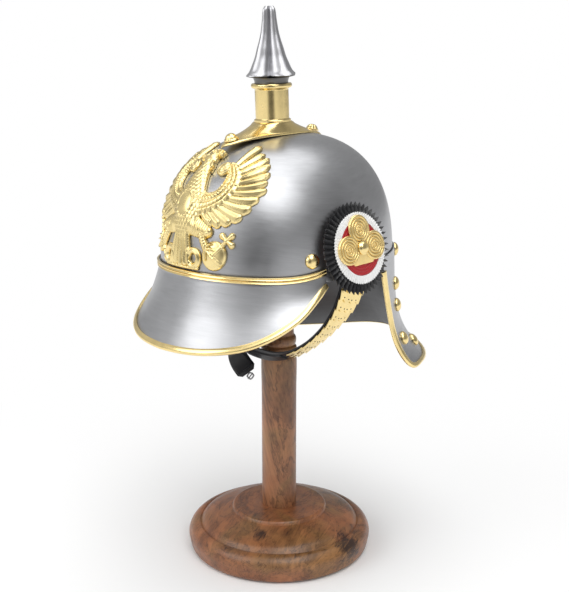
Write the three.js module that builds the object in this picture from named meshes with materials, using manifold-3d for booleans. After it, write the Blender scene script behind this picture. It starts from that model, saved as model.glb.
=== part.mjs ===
import * as THREE from 'three';
import Module from 'manifold-3d';
import { mergeVertices } from 'three/addons/utils/BufferGeometryUtils.js';

// All sizes in millimetres. The stand's axis is Z, its underside lies at z 0 and the helmet faces -Y.
// The wearer's left is +X. The helmet's own frame starts in the middle of its brow line.

const GAP = 0.35;
const JOIN_TOLERANCE = 0.05;

// Stand
const BASE_RADIUS = 89.7;
const BASE_HEIGHT = 42.9;
const BASE_SIDES = 32;
// Shares of the base's radius and height, from the foot over the rim and the groove to the raised disc
const BASE_PROFILE = [
  { out: 0, up: 0 },
  { out: 0.925, up: 0 },
  { out: 0.97, up: 0.07 },
  { out: 1, up: 0.373 },
  { out: 0.975, up: 0.513 },
  { out: 0.922, up: 0.606 },
  { out: 0.868, up: 0.606 },
  { out: 0.846, up: 0.662 },
  { out: 0.736, up: 0.769 },
  { out: 0.613, up: 0.862 },
  { out: 0.524, up: 0.93 },
  { out: 0.506, up: 1 },
  { out: 0, up: 1 },
];
const POST_RADIUS = 16.8;
const POST_SHAFT_TOP = 197;
const POST_SIDES = 20;
const POST_RINGS_HEIGHT = 20;
// Two turned rings on the post, as shares of its radius and of the rings' height
const POST_RINGS = [
  { out: 0.97, up: 0 },
  { out: 1.02, up: 0.2 },
  { out: 1.02, up: 0.35 },
  { out: 0.9, up: 0.475 },
  { out: 0.98, up: 0.65 },
  { out: 0.98, up: 0.8 },
  { out: 0.86, up: 1 },
];
const POST_WAIST_RADIUS = 13.8;
const POST_WAIST_DEPTH = 24;
const POST_HEAD_RADIUS = 31;
const POST_HEAD_DEPTH = 16;
const POST_HEAD_CROWN = 5;

// Where the helmet sits on the stand
const HELMET_TILT = 2.3;
const HELMET_X = -1;
const HELMET_Y = -1.5;
const BROW_HEIGHT = 288.5;

// Steel shell, measured at its outer face
const SKULL_HALF_WIDTH = 97.3;
const SKULL_FRONT = 112.5;
const SKULL_REAR = 119;
const SKULL_HEIGHT = 118.5;
const SKULL_WALL = 1.2;
const PLAN_POWER = 2.05;
const DOME_POWER_FRONT = 2.38;
const DOME_POWER_REAR = 2.62;
const SKULL_ROUND = 40;
const SKULL_ROWS = 7;

// Visor
const VISOR_WALL = 1.2;
const VISOR_SPREAD = 74;
const VISOR_STEPS = 20;
// Shares of the way from the bend under the band to the rim
const VISOR_ROWS = [0.25, 0.5, 0.75, 1];
const VISOR_FLARE = 26.5;
const VISOR_DROP = 51.5;
const VISOR_TOP_OVER_BAND = 1.5;
const VISOR_BEND_UNDER_BAND = 3.2;
// Shares of the flare and of the drop from the middle of the visor to its end
const VISOR_RIM = [
  { along: 0, flare: 1, drop: 1 },
  { along: 0.3, flare: 1, drop: 0.962 },
  { along: 0.55, flare: 0.906, drop: 0.835 },
  { along: 0.78, flare: 0.604, drop: 0.524 },
  { along: 0.92, flare: 0.264, drop: 0.233 },
  { along: 1, flare: 0.038, drop: 0.058 },
];
const VISOR_FLARE_EVEN = 0.66;
const VISOR_FLARE_LATE = 0.34;

// Brass band over the visor
const BAND_END_HEIGHT = 3.5;
const BAND_RISE = 7;
// The band turns up again at its two ends
const BAND_END_LIFT = 6;
const BAND_END_POWER = 8;
const BAND_WIDTH = 5.8;
const BAND_RIDGE = 1.8;
const BAND_GROOVE = 1.1;
// Place of a ridge's crest, as a share of half the band's width
const BAND_CREST_SHARE = 0.8;

// Neck guard
const GUARD_WALL = 1.2;
const GUARD_STANDOFF = 0.7;
const GUARD_STEPS = 32;
// Shares of the way from the brow to the rim
const GUARD_ROWS = [0.35, 0.6, 0.78, 0.9, 1];
const GUARD_TOP = 8;
const GUARD_FLARE_POWER = 3.2;
const GUARD_FLARE_DEPTH = 105;
const GUARD_SIDE_FLARE = 20;
const GUARD_BACK_FLARE = 43;
const GUARD_SIDE_ANGLE = 112;
// Rim from the wearer's left side to the middle of the back, angles in degrees from the front
const GUARD_RIM = [
  { angle: GUARD_SIDE_ANGLE, drop: 6 },
  { angle: 117, drop: 46 },
  { angle: 118, drop: 84 },
  { angle: 121, drop: 102 },
  { angle: 131, drop: 105.5 },
  { angle: 149, drop: 106.5 },
  { angle: 180, drop: 98 },
];
// Rough length of a degree round the rim, which spaces the stations evenly
const GUARD_DEGREE = 1.9;

// Brass edging, a folded strip over the rim
const EDGE_HALF = 2.3;
const EDGE_LIP = 3.4;
const EDGE_NOSE = 1.5;
const EDGE_LIP_SHARE = 0.3;

// Plate, tube and spike on the crown
const PLATE_HALF_LENGTH = 62;
const PLATE_HALF_WIDTH = 19;
const PLATE_WALL = 1.8;
const PLATE_LIFT = 0.5;
const PLATE_FRONT_LIFT = 5.5;
const PLATE_LIFT_POWER = 1.6;
const PLATE_SEAT_RADIUS = 17.2;
const PLATE_SEAT_RISE = 10.7;
const PLATE_SEAT_HEIGHT = SKULL_HEIGHT + PLATE_SEAT_RISE;
const PLATE_SIDES = 24;
const PLATE_PLAN_POWER = 1.5;
const PLATE_SLOPE_POWER = 2.6;
// Shares of the way from the seat to the edge
const PLATE_ROWS = [0, 0.18, 0.42, 0.7, 1];
const STUD_OFFSET = 50;
const STUD_RADIUS = 6.4;
const STUD_HEIGHT = 5.6;
const STUD_SIDES = 12;
const TUBE_RADIUS = 15.25;
const TUBE_WALL = 1.5;
const TUBE_FOOT_RADIUS = 16.8;
const TUBE_FOOT_HEIGHT = 1.6;
const TUBE_BEVEL = 0.8;
const TUBE_LENGTH = 30;
const TUBE_TOP = PLATE_SEAT_HEIGHT + TUBE_LENGTH;
const TUBE_SIDES = 20;
const COLLAR_RADIUS = 18.45;
const COLLAR_HEIGHT = 3.9;
const COLLAR_TOP = TUBE_TOP + COLLAR_HEIGHT;
const NECK_RADIUS = 15.5;
const NECK_SIDES = 20;
const NECK_LENGTH = 5.3;
const SPIKE_FOOT = COLLAR_TOP + NECK_LENGTH;
const SPIKE_LENGTH = 61.5;
const SPIKE_TIP = SPIKE_FOOT + SPIKE_LENGTH;
const SPIKE_TIP_HOLLOW = 1.5;
const SPIKE_RADIUS = 27.4;
// Height over the foot and radius, as shares of the spike's height and of its greatest radius
const SPIKE_SECTIONS = [
  { up: 0, out: 0.68 },
  { up: 0.02, out: 0.95 },
  { up: 0.035, out: 1 },
  { up: 0.09, out: 0.87 },
  { up: 0.205, out: 0.725 },
  { up: 0.35, out: 0.575 },
  { up: 0.52, out: 0.44 },
  { up: 0.635, out: 0.365 },
  { up: 0.8, out: 0.3 },
  { up: 0.955, out: 0.25 },
  { up: 1, out: 0.17 },
];
// Share of the radius taken away by a flute, stepping round from the middle of the flute
const SPIKE_FLUTE = [0.44, 0.23, 0.08, 0, 0.08, 0.23];
const SPIKE_FLUTES = 4;
const SPIKE_FLUTE_TURN = 45;

// Rivets with domed brass heads
const RIVET_RADIUS = 6.6;
const RIVET_HEIGHT = 4.4;
const RIVET_SIDES = 8;
// Domed heads, as shares of their radius and height
const DOME_PROFILE = [
  { out: 0, up: 0 },
  { out: 1, up: 0 },
  { out: 0.85, up: 0.6 },
  { out: 0, up: 1 },
];
// over is the height of the head's foot over the rounded shell
const FRONT_RIVET = { angle: 68, height: 20, over: -0.35 };
const REAR_RIVET = { angle: 143, height: 2, over: GUARD_STANDOFF + GUARD_WALL + 2 * GAP };
const GUARD_RIVETS = [
  { angle: 133, drop: 27 },
  { angle: 132, drop: 48 },
  { angle: 127, drop: 78.5 },
  { angle: 143, drop: 92 },
];

// Rosettes
const ROSETTE_X = 103;
const ROSETTE_Y = -1;
const ROSETTE_Z = 26;
const ROSETTE_TILT = 12;
const ROSETTE_RADIUS = 40.5;
const ROSETTE_TEETH = 44;
const ROSETTE_TOOTH = 3;
const ROSETTE_PLEAT = 0.8;
const ROSETTE_RING_EDGE = -1.5;
const ROSETTE_RING_TOP = 2.4;
const ROSETTE_RING_HALF = 0.9;
const ROSETTE_RING_UNDER = 3.6;
const ROSETTE_SIDES = 24;
const WHITE_RADIUS = 31.2;
const WHITE_WIDTH = 5.6;
const WHITE_WALL = 1.3;
const RED_WALL = 1.2;
const LOBE_HALF_LENGTH = 12.8;
const LOBE_HALF_WIDTH = 12.6;
const LOBE_OUT = 15.8;
const LOBE_HEIGHT = 2.2;
const LOBE_SIDES = 10;
// A loop of the coil, as shares of its size in plan and of its height
const LOBE_PROFILE = [
  { out: 0, up: 0 },
  { out: 1, up: 0 },
  { out: 0.94, up: 0.85 },
  { out: 0.72, up: 1 },
  { out: 0.55, up: 0.6 },
  { out: 0, up: 0.75 },
];
const LOBE_TURNS = [90, 180, 270];
const WEB_RADIUS = 12.5;
const WEB_HEIGHT = 1.3;
const BOSS_RADIUS = 5.2;
const BOSS_HEIGHT = 4;
const BOSS_SIDES = 12;
const STEM_RADIUS = 7;
const STEM_SIDES = 12;
const ROSETTE_BACK = 3.1;
const TREFOIL_FOOT = ROSETTE_BACK + WHITE_WALL + GAP;
const STEM_TOP = ROSETTE_BACK - GAP;

// Chin strap, from the wearer's left rosette to the middle under the chin
const STRAP_WALL = 2;
const SCALE_WALL = 1.6;
const SCALE_STEP = 0.9;
const SCALE_RIDGE = 0.6;
const SCALE_PINCH = 0.8;
const SCALE_TOP_SHARE = 0.92;
const SCALE_LAP = 0.95;
const SCALES = 11;
const SCALE_START = 0.17;
const SCALE_END = 0.69;
const STRAP_PATH = [
  { across: 97.2, forward: 1, drop: -36, width: 21, lean: 0 },
  { across: 97.4, forward: 1.5, drop: -14, width: 27, lean: 0 },
  { across: 97.85, forward: 3, drop: 5, width: 31, lean: 0 },
  { across: 94.5, forward: 9.5, drop: 23, width: 28, lean: 0 },
  { across: 85, forward: 17, drop: 41.5, width: 23, lean: 0 },
  { across: 69.5, forward: 23, drop: 58.5, width: 19, lean: 5 },
  { across: 50.5, forward: 27, drop: 71.5, width: 16, lean: 14 },
  { across: 31.5, forward: 28.5, drop: 79, width: 13, lean: 26 },
  { across: 14, forward: 29, drop: 82, width: 11, lean: 35 },
  { across: 0, forward: 29, drop: 82.5, width: 11, lean: 38 },
];
const STRAP_STEPS = 18;
// Loose end of the strap, hanging from the strap's underside; turn is the heading of its width
const TAIL_PATH = [
  { across: -25, forward: 31.5, drop: 84.9, turn: 4 },
  { across: -24.5, forward: 33, drop: 90, turn: 12 },
  { across: -18.5, forward: 33.5, drop: 98, turn: 28 },
  { across: -9.5, forward: 33, drop: 106, turn: 35 },
];
const TAIL_WIDTH = 20;
const TAIL_WALL = 2;
const BUCKLE_SIZE = 7.5;
const BUCKLE_BAR = 1.6;
const BUCKLE_SIDES = 8;

// Eagle plate, laid out flat: across from its middle, up from the brow line, and height of relief
const EAGLE_BACK = 0.45;
const EAGLE_SUNK = 3;
const EAGLE_WALL = 1.5;
const ARC_STEPS = 240;
const FEATHER_STEPS = 2;
const FEATHER_RISE = 1.5;
// Half widths of the outermost feathers at root and tip, and the reach of the gaps between feathers
const FEATHER_ROOT_HALF = 2.5;
const FEATHER_TIP_HALF = 4;
const FEATHER_JOINED = 0.84;
const FEATHER_TIP_TALL = 0.75;
const FEATHERS = [
  { rootAcross: 31, rootUp: 109, tipAcross: 32.5, tipUp: 137 },
  { rootAcross: 36, rootUp: 105, tipAcross: 46, tipUp: 124.5 },
  { rootAcross: 40.5, rootUp: 100.5, tipAcross: 57, tipUp: 117 },
  { rootAcross: 43.5, rootUp: 95.5, tipAcross: 64, tipUp: 108.5 },
  { rootAcross: 45.5, rootUp: 90.5, tipAcross: 70.5, tipUp: 98 },
  { rootAcross: 46.5, rootUp: 86, tipAcross: 73, tipUp: 89.5 },
  { rootAcross: 46.5, rootUp: 81.5, tipAcross: 76, tipUp: 82 },
  { rootAcross: 44.5, rootUp: 76.5, tipAcross: 72.5, tipUp: 74 },
  { rootAcross: 41.5, rootUp: 72, tipAcross: 68.5, tipUp: 65.5 },
  { rootAcross: 37.5, rootUp: 68.5, tipAcross: 62, tipUp: 58 },
  { rootAcross: 32.5, rootUp: 66, tipAcross: 52.5, tipUp: 54.3 },
  { rootAcross: 27.5, rootUp: 64, tipAcross: 43, tipUp: 53 },
  { rootAcross: 22, rootUp: 62, tipAcross: 33.5, tipUp: 55 },
];
// Inner and outer edge of the wing's arm from the breast out to its curl
const WING_ARM = [
  { inAcross: 8, inUp: 84, outAcross: 12, outUp: 57 },
  { inAcross: 15, inUp: 80.5, outAcross: 22, outUp: 61 },
  { inAcross: 21.5, inUp: 80.5, outAcross: 33, outUp: 66 },
  { inAcross: 27, inUp: 84, outAcross: 42.5, outUp: 73 },
  { inAcross: 29.5, inUp: 90, outAcross: 47, outUp: 83 },
  { inAcross: 29.5, inUp: 96.5, outAcross: 44.5, outUp: 94 },
  { inAcross: 27.5, inUp: 102.5, outAcross: 37, outUp: 104 },
  { inAcross: 25.5, inUp: 107, outAcross: 30, outUp: 110 },
];
const ARM_PROFILE = [2.6, 4.4, 2.8];
const BODY = [
  { up: 41, half: 9, tall: 3.6 },
  { up: 48, half: 14, tall: 4.8 },
  { up: 56, half: 18, tall: 6 },
  { up: 66, half: 20, tall: 7 },
  { up: 76, half: 18, tall: 7 },
  { up: 86, half: 13, tall: 6.6 },
  { up: 96, half: 9.5, tall: 6.2 },
];
const NECK = [
  { up: 92, from: -10.5, to: 10.5, tall: 5.8 },
  { up: 100, from: -8.5, to: 8, tall: 6 },
  { up: 107, from: -8, to: 6.5, tall: 6 },
  { up: 111.5, from: -9.5, to: 7, tall: 6 },
  { up: 115, from: -15, to: 7.5, tall: 5.6 },
  { up: 118, from: -8.5, to: 7.5, tall: 5 },
  { up: 120.5, from: -10, to: 9, tall: 4.4 },
  { up: 124.5, from: -11, to: 10, tall: 4 },
];
const LEG = [
  { across: 12, up: 52, half: 9 },
  { across: 22, up: 49, half: 7.5 },
  { across: 31, up: 46.5, half: 5.5 },
];
const SHANK = [
  { across: 22, up: 46, half: 5 },
  { across: 28, up: 38, half: 4.5 },
  { across: 34, up: 32, half: 7 },
];
const TAIL = [
  { up: 48, half: 7 },
  { up: 36, half: 9 },
  { up: 25, half: 12 },
  { up: 17.5, half: 15 },
];
const TAIL_FEATHERS = 5;
const TAIL_TIP_REACH = 3.2;
const TAIL_CREST = 2.4;
const TAIL_VALLEY = 0.9;
const BODY_EDGE = 2.4;
const NECK_EDGE = 2.2;
const BODY_STEPS = 4;
const LEG_TALL = 5;
const SHANK_TALL = 4.2;
const CROSS_UPRIGHT_TALL = 3.4;
const CROSS_BAR_TALL = 3;
const SCEPTRE_TALL = 3;
const KNOB_SIDES = 10;
// Height of a dome at its second ring, and where that ring lies
const KNOB_SHOULDER = { out: 0.6, tall: 0.82 };
const SCROLL = { across: 16.5, up: 23.9, radius: 9.6, eye: 3.6, tall: 3.4 };
const FOOT_BAR = { half: 22, up: 15.6, thick: 1.4, tall: 2.6 };
const ORB = { across: 40.5, up: 27.5, radius: 13, tall: 5 };
// The two arms of the orb's cross
const ORB_CROSS_UPRIGHT = [
  { across: 44, up: 33, half: 3.4 },
  { across: 50, up: 39, half: 3 },
  { across: 55.5, up: 44, half: 3.6 },
];
const ORB_CROSS_BAR = [
  { across: 45.5, up: 45, half: 3 },
  { across: 50, up: 40.5, half: 2.4 },
  { across: 57.5, up: 37, half: 3.2 },
];
// Round curl at the top of a wing's arm
const CURL = { across: 22, up: 105, radius: 7.2, tall: 4 };
const SCEPTRE = [
  { across: -24, up: 17, half: 2 },
  { across: -33, up: 33, half: 2 },
  { across: -42, up: 47, half: 2 },
  { across: -46.5, up: 54, half: 4.5 },
  { across: -50, up: 60, half: 1 },
];

const wasm = await Module();
wasm.setup();

const rad = THREE.MathUtils.degToRad;
const lerp = THREE.MathUtils.lerp;

function finish(colour, roughness, metalness) {
  return { colour, roughness, metalness };
}

const STEEL = finish(0xb9bcc0, 0.25, 1);
const BRASS = finish(0xd9b45c, 0.25, 1);
const DARK_METAL = finish(0x4a4642, 0.5, 0.8);
const WOOD = finish(0x7a4a30, 0.5, 0);
const BLACK_CLOTH = finish(0x1b1b1d, 0.6, 0);
const WHITE_PAINT = finish(0xf2f2f0, 0.5, 0);
const RED_PAINT = finish(0xa3262a, 0.5, 0);
const LEATHER = finish(0x17161a, 0.45, 0);

// Signed volume of a list of triangles, positive when they face out
function signedVolume(triangles) {
  let sum = 0;
  for (const [a, b, c] of triangles) {
    sum += a[0] * (b[1] * c[2] - b[2] * c[1]);
    sum += a[1] * (b[2] * c[0] - b[0] * c[2]);
    sum += a[2] * (b[0] * c[1] - b[1] * c[0]);
  }
  return sum / 6;
}

function samePoint(a, b) {
  return Math.hypot(a[0] - b[0], a[1] - b[1], a[2] - b[2]) < 1e-6;
}

// A closed body from triangles wound alike, turned to face out
function bodyOf(triangles) {
  const real = triangles.filter(([a, b, c]) => !samePoint(a, b) && !samePoint(b, c) && !samePoint(c, a));
  const flip = signedVolume(real) < 0;
  const flat = [];
  for (const [a, b, c] of real) {
    flat.push(...a, ...(flip ? c : b), ...(flip ? b : c));
  }
  const geometry = new THREE.BufferGeometry();
  geometry.setAttribute('position', new THREE.Float32BufferAttribute(flat, 3));
  return geometry;
}

function quad(triangles, a, b, c, d) {
  triangles.push([a, b, c], [a, c, d]);
}

// The solid between two matching grids of points; round closes the first direction on itself
function shell(outer, inner, round) {
  const triangles = [];
  const n = outer.length;
  const m = outer[0].length;
  const last = round ? n : n - 1;
  for (let i = 0; i < last; i += 1) {
    const k = (i + 1) % n;
    for (let j = 0; j < m - 1; j += 1) {
      quad(triangles, outer[i][j], outer[k][j], outer[k][j + 1], outer[i][j + 1]);
      quad(triangles, inner[i][j], inner[i][j + 1], inner[k][j + 1], inner[k][j]);
    }
    quad(triangles, outer[i][0], inner[i][0], inner[k][0], outer[k][0]);
    quad(triangles, outer[i][m - 1], outer[k][m - 1], inner[k][m - 1], inner[i][m - 1]);
  }
  if (!round) {
    for (let j = 0; j < m - 1; j += 1) {
      quad(triangles, outer[0][j], outer[0][j + 1], inner[0][j + 1], inner[0][j]);
      quad(triangles, outer[n - 1][j], inner[n - 1][j], inner[n - 1][j + 1], outer[n - 1][j + 1]);
    }
  }
  return bodyOf(triangles);
}

function minus(a, b) {
  return [a[0] - b[0], a[1] - b[1], a[2] - b[2]];
}

function plus(a, b, share = 1) {
  return [a[0] + b[0] * share, a[1] + b[1] * share, a[2] + b[2] * share];
}

function cross(a, b) {
  return [a[1] * b[2] - a[2] * b[1], a[2] * b[0] - a[0] * b[2], a[0] * b[1] - a[1] * b[0]];
}

function dot(a, b) {
  return a[0] * b[0] + a[1] * b[1] + a[2] * b[2];
}

function unit(a) {
  const size = Math.hypot(a[0], a[1], a[2]);
  return [a[0] / size, a[1] / size, a[2] / size];
}

// Unit normals of a grid, pointing away from the axis
function gridNormals(grid) {
  const n = grid.length;
  const m = grid[0].length;
  return grid.map((column, i) => column.map((point, j) => {
    const alongI = minus(grid[Math.min(i + 1, n - 1)][j], grid[Math.max(i - 1, 0)][j]);
    const alongJ = minus(grid[i][Math.min(j + 1, m - 1)], grid[i][Math.max(j - 1, 0)]);
    const normal = unit(cross(alongI, alongJ));
    return dot(normal, [point[0], point[1], 0]) < 0 ? normal.map((v) => -v) : normal;
  }));
}

function thickened(grid, wall) {
  const normals = gridNormals(grid);
  const outer = grid.map((column, i) => column.map((point, j) => plus(point, normals[i][j], wall)));
  return { outer, inner: grid, normals };
}

// A section of [along a, along b] points swept through frames { at, a, b }
function sweep(frames, sectionAt, closed = false) {
  const rings = frames.map((frame, i) => (
    sectionAt(i).map(([s, t]) => plus(plus(frame.at, frame.a, s), frame.b, t))
  ));
  const triangles = [];
  const count = rings[0].length;
  const last = closed ? rings.length : rings.length - 1;
  for (let i = 0; i < last; i += 1) {
    const next = rings[(i + 1) % rings.length];
    for (let j = 0; j < count; j += 1) {
      const k = (j + 1) % count;
      quad(triangles, rings[i][j], rings[i][k], next[k], next[j]);
    }
  }
  if (!closed) {
    for (const end of [0, frames.length - 1]) {
      const outline = sectionAt(end).map(([s, t]) => new THREE.Vector2(s, t));
      const clockwise = THREE.ShapeUtils.isClockWise(outline);
      for (const face of THREE.ShapeUtils.triangulateShape(outline, [])) {
        const corners = face.map((k) => rings[end][k]);
        const turn = (end === 0) !== clockwise;
        triangles.push(turn ? [corners[0], corners[2], corners[1]] : corners);
      }
    }
    const capped = sweepCapsMatch(triangles);
    if (!capped) {
      throw new Error('a sweep did not close');
    }
  }
  return bodyOf(triangles);
}

// True when every edge is met once in each direction
function sweepCapsMatch(triangles) {
  const name = (p) => p.map((v) => v.toFixed(5)).join(' ');
  const edges = new Map();
  for (const triangle of triangles) {
    for (let i = 0; i < 3; i += 1) {
      const key = `${name(triangle[i])}|${name(triangle[(i + 1) % 3])}`;
      edges.set(key, (edges.get(key) || 0) + 1);
    }
  }
  for (const [key, times] of edges) {
    const [from, to] = key.split('|');
    if (edges.get(`${to}|${from}`) !== times) {
      return false;
    }
  }
  return true;
}

// A body turned about its own Z from rows of [radius, height]; loop joins the last row to the first
function turned(rows, sides, loop = false, shrink = () => 0) {
  const columns = [];
  for (let i = 0; i < sides; i += 1) {
    const angle = (i / sides) * 2 * Math.PI;
    columns.push(rows.map(([radius, height]) => {
      const r = radius * (1 - shrink(i));
      return [r * Math.cos(angle), r * Math.sin(angle), height];
    }));
  }
  const triangles = [];
  const count = rows.length;
  const last = loop ? count : count - 1;
  for (let i = 0; i < sides; i += 1) {
    const next = columns[(i + 1) % sides];
    for (let j = 0; j < last; j += 1) {
      const k = (j + 1) % count;
      quad(triangles, columns[i][j], next[j], next[k], columns[i][k]);
    }
  }
  return bodyOf(triangles);
}

// Puts a body drawn about Z at a point with its Z along a direction
function stood(geometry, at, direction) {
  const upright = new THREE.Vector3(0, 0, 1);
  const turn = new THREE.Quaternion().setFromUnitVectors(upright, new THREE.Vector3(...direction));
  const place = new THREE.Matrix4().compose(new THREE.Vector3(...at), turn, new THREE.Vector3(1, 1, 1));
  return geometry.applyMatrix4(place);
}

function signedPower(value, power) {
  return Math.sign(value) * Math.abs(value) ** power;
}

function domePower(theta) {
  return lerp(DOME_POWER_FRONT, DOME_POWER_REAR, (1 - Math.cos(theta)) / 2);
}

// A point of the shell: theta from the front to the wearer's left, phi from the brow to the crown
function skullPoint(theta, phi, over = 0) {
  const power = domePower(theta);
  const across = signedPower(Math.sin(theta), 2 / PLAN_POWER);
  const along = signedPower(Math.cos(theta), 2 / PLAN_POWER);
  const reach = Math.abs(Math.cos(phi)) ** (2 / power);
  const rise = Math.abs(Math.sin(phi)) ** (2 / power);
  const length = Math.cos(theta) > 0 ? SKULL_FRONT : SKULL_REAR;
  return [
    (SKULL_HALF_WIDTH + over) * across * reach,
    -(length + over) * along * reach,
    (SKULL_HEIGHT + over) * rise,
  ];
}

// Height of the shell over a place in plan
function skullHeight(x, y) {
  const length = y < 0 ? SKULL_FRONT : SKULL_REAR;
  const theta = Math.atan2(x / SKULL_HALF_WIDTH, -y / length);
  const across = Math.abs(x / SKULL_HALF_WIDTH) ** PLAN_POWER;
  const along = Math.abs(y / length) ** PLAN_POWER;
  const reach = (across + along) ** (1 / PLAN_POWER);
  const power = domePower(theta);
  return SKULL_HEIGHT * (1 - reach ** power) ** (1 / power);
}

function skullNormal(theta, phi) {
  const step = 1e-3;
  const round = minus(skullPoint(theta + step, phi), skullPoint(theta - step, phi));
  const up = minus(skullPoint(theta, phi + step), skullPoint(theta, phi - step));
  const normal = unit(cross(round, up));
  return dot(normal, skullPoint(theta, phi)) < 0 ? normal.map((v) => -v) : normal;
}

// Smooth value of a table between its rows
function tableValue(table, key, name, at) {
  let i = 0;
  while (i < table.length - 2 && table[i + 1][key] < at) {
    i += 1;
  }
  const from = table[i];
  const to = table[i + 1];
  const before = table[Math.max(i - 1, 0)];
  const after = table[Math.min(i + 2, table.length - 1)];
  const span = to[key] - from[key];
  const t = (at - from[key]) / span;
  const slopeFrom = ((to[name] - before[name]) / (to[key] - before[key])) * span;
  const slopeTo = ((after[name] - from[name]) / (after[key] - from[key])) * span;
  const square = t * t;
  const cube = square * t;
  return (2 * cube - 3 * square + 1) * from[name] + (cube - 2 * square + t) * slopeFrom
    + (3 * square - 2 * cube) * to[name] + (cube - square) * slopeTo;
}

function buildSkull() {
  const outer = [];
  const inner = [];
  for (let i = 0; i < SKULL_ROUND; i += 1) {
    const theta = (i / SKULL_ROUND) * 2 * Math.PI;
    const outerColumn = [];
    const innerColumn = [];
    for (let j = 0; j <= SKULL_ROWS; j += 1) {
      const phi = (j / SKULL_ROWS) * (Math.PI / 2);
      const crown = j === SKULL_ROWS;
      outerColumn.push(crown ? [0, 0, SKULL_HEIGHT] : skullPoint(theta, phi));
      innerColumn.push(crown ? [0, 0, SKULL_HEIGHT - SKULL_WALL] : skullPoint(theta, phi, -SKULL_WALL));
    }
    outer.push(outerColumn);
    inner.push(innerColumn);
  }
  return shell(outer, inner, true);
}

function bendHeight(theta) {
  return BAND_END_HEIGHT + BAND_RISE * Math.cos(theta) ** 2 - VISOR_BEND_UNDER_BAND;
}

function bandHeight(theta) {
  const along = Math.abs(theta) / rad(VISOR_SPREAD);
  return bendHeight(theta) + VISOR_BEND_UNDER_BAND + BAND_END_LIFT * along ** BAND_END_POWER;
}

function visorAngles() {
  const angles = [];
  for (let i = 0; i <= VISOR_STEPS; i += 1) {
    angles.push(rad(VISOR_SPREAD) * ((2 * i) / VISOR_STEPS - 1));
  }
  return angles;
}

// Inner face of the visor, from under the band to the rim
function visorGrid() {
  return visorAngles().map((theta) => {
    const along = Math.abs(theta) / rad(VISOR_SPREAD);
    const flare = VISOR_FLARE * tableValue(VISOR_RIM, 'along', 'flare', along);
    const drop = VISOR_DROP * tableValue(VISOR_RIM, 'along', 'drop', along);
    const foot = skullPoint(theta, 0, GAP);
    const bend = bendHeight(theta);
    const column = [
      [foot[0], foot[1], bandHeight(theta) + VISOR_TOP_OVER_BAND],
      [foot[0], foot[1], bend],
    ];
    for (const t of VISOR_ROWS) {
      const out = flare * (VISOR_FLARE_EVEN * t + VISOR_FLARE_LATE * t ** 3);
      column.push([
        foot[0] + Math.sin(theta) * out,
        foot[1] - Math.cos(theta) * out,
        lerp(bend, -drop, t),
      ]);
    }
    return column;
  });
}

// Frames along the rim of a sheet: a across the wall, b out of the rim within the sheet
function rimFrames(sheet) {
  const n = sheet.inner.length;
  const m = sheet.inner[0].length;
  const middle = sheet.inner.map((column, i) => {
    const end = column[m - 1];
    return plus(end, minus(sheet.outer[i][m - 1], end), 0.5);
  });
  return middle.map((at, i) => {
    const tangent = unit(minus(middle[Math.min(i + 1, n - 1)], middle[Math.max(i - 1, 0)]));
    const a = sheet.normals[i][m - 1];
    const down = minus(sheet.inner[i][m - 1], sheet.inner[i][m - 2]);
    const flat = unit(cross(tangent, a));
    const b = dot(flat, down) < 0 ? flat.map((v) => -v) : flat;
    return { at, a, b };
  });
}

// Folded brass strip over a rim
function buildEdging(sheet, wall) {
  const slot = wall / 2 + GAP;
  return sweep(rimFrames(sheet), (i) => {
    const column = sheet.inner[i];
    const fall = Math.hypot(...minus(column[column.length - 1], column[1]));
    const lip = Math.min(EDGE_LIP, fall * EDGE_LIP_SHARE);
    return [
      [-EDGE_HALF, -lip],
      [-EDGE_NOSE, EDGE_HALF],
      [EDGE_NOSE, EDGE_HALF],
      [EDGE_HALF, -lip],
      [slot, -lip],
      [slot, GAP],
      [-slot, GAP],
      [-slot, -lip],
    ];
  });
}

function buildBand() {
  const over = GAP + VISOR_WALL + GAP;
  const half = BAND_WIDTH / 2;
  const crest = half * BAND_CREST_SHARE;
  const section = [[0, -half], [BAND_RIDGE, -crest], [BAND_GROOVE, 0], [BAND_RIDGE, crest], [0, half]];
  const frames = visorAngles().map((theta) => {
    const foot = skullPoint(theta, 0, over);
    return {
      at: [foot[0], foot[1], bandHeight(theta)],
      a: [Math.sin(theta), -Math.cos(theta), 0],
      b: [0, 0, 1],
    };
  });
  return sweep(frames, () => section);
}

function guardRimCurve() {
  const station = (angle, drop) => new THREE.Vector3(angle * GUARD_DEGREE, drop, 0);
  const left = GUARD_RIM.map((row) => station(row.angle, row.drop));
  const right = GUARD_RIM.slice(0, -1).map((row) => station(360 - row.angle, row.drop));
  return new THREE.CatmullRomCurve3([...left, ...right.reverse()]);
}

// A point of the neck guard's inner face at an angle in degrees and a drop below the brow
function guardPoint(angle, drop) {
  const theta = rad(angle);
  const foot = skullPoint(theta, 0, GUARD_STANDOFF);
  const heading = Math.atan2(foot[0], -foot[1]);
  const toBack = 1 - Math.abs(angle - 180) / (180 - GUARD_SIDE_ANGLE);
  const flare = lerp(GUARD_SIDE_FLARE, GUARD_BACK_FLARE, toBack);
  const out = flare * (Math.max(drop, 0) / GUARD_FLARE_DEPTH) ** GUARD_FLARE_POWER;
  return [foot[0] + Math.sin(heading) * out, foot[1] - Math.cos(heading) * out, -drop];
}

function guardGrid() {
  const curve = guardRimCurve();
  const grid = [];
  for (let i = 0; i <= GUARD_STEPS; i += 1) {
    const rim = curve.getPointAt(i / GUARD_STEPS);
    const brow = lerp(GUARD_SIDE_ANGLE, 360 - GUARD_SIDE_ANGLE, i / GUARD_STEPS);
    const column = [guardPoint(brow, -GUARD_TOP), guardPoint(brow, 0)];
    for (const share of GUARD_ROWS) {
      column.push(guardPoint(lerp(brow, rim.x / GUARD_DEGREE, share), share * rim.y));
    }
    grid.push(column);
  }
  return grid;
}

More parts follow.
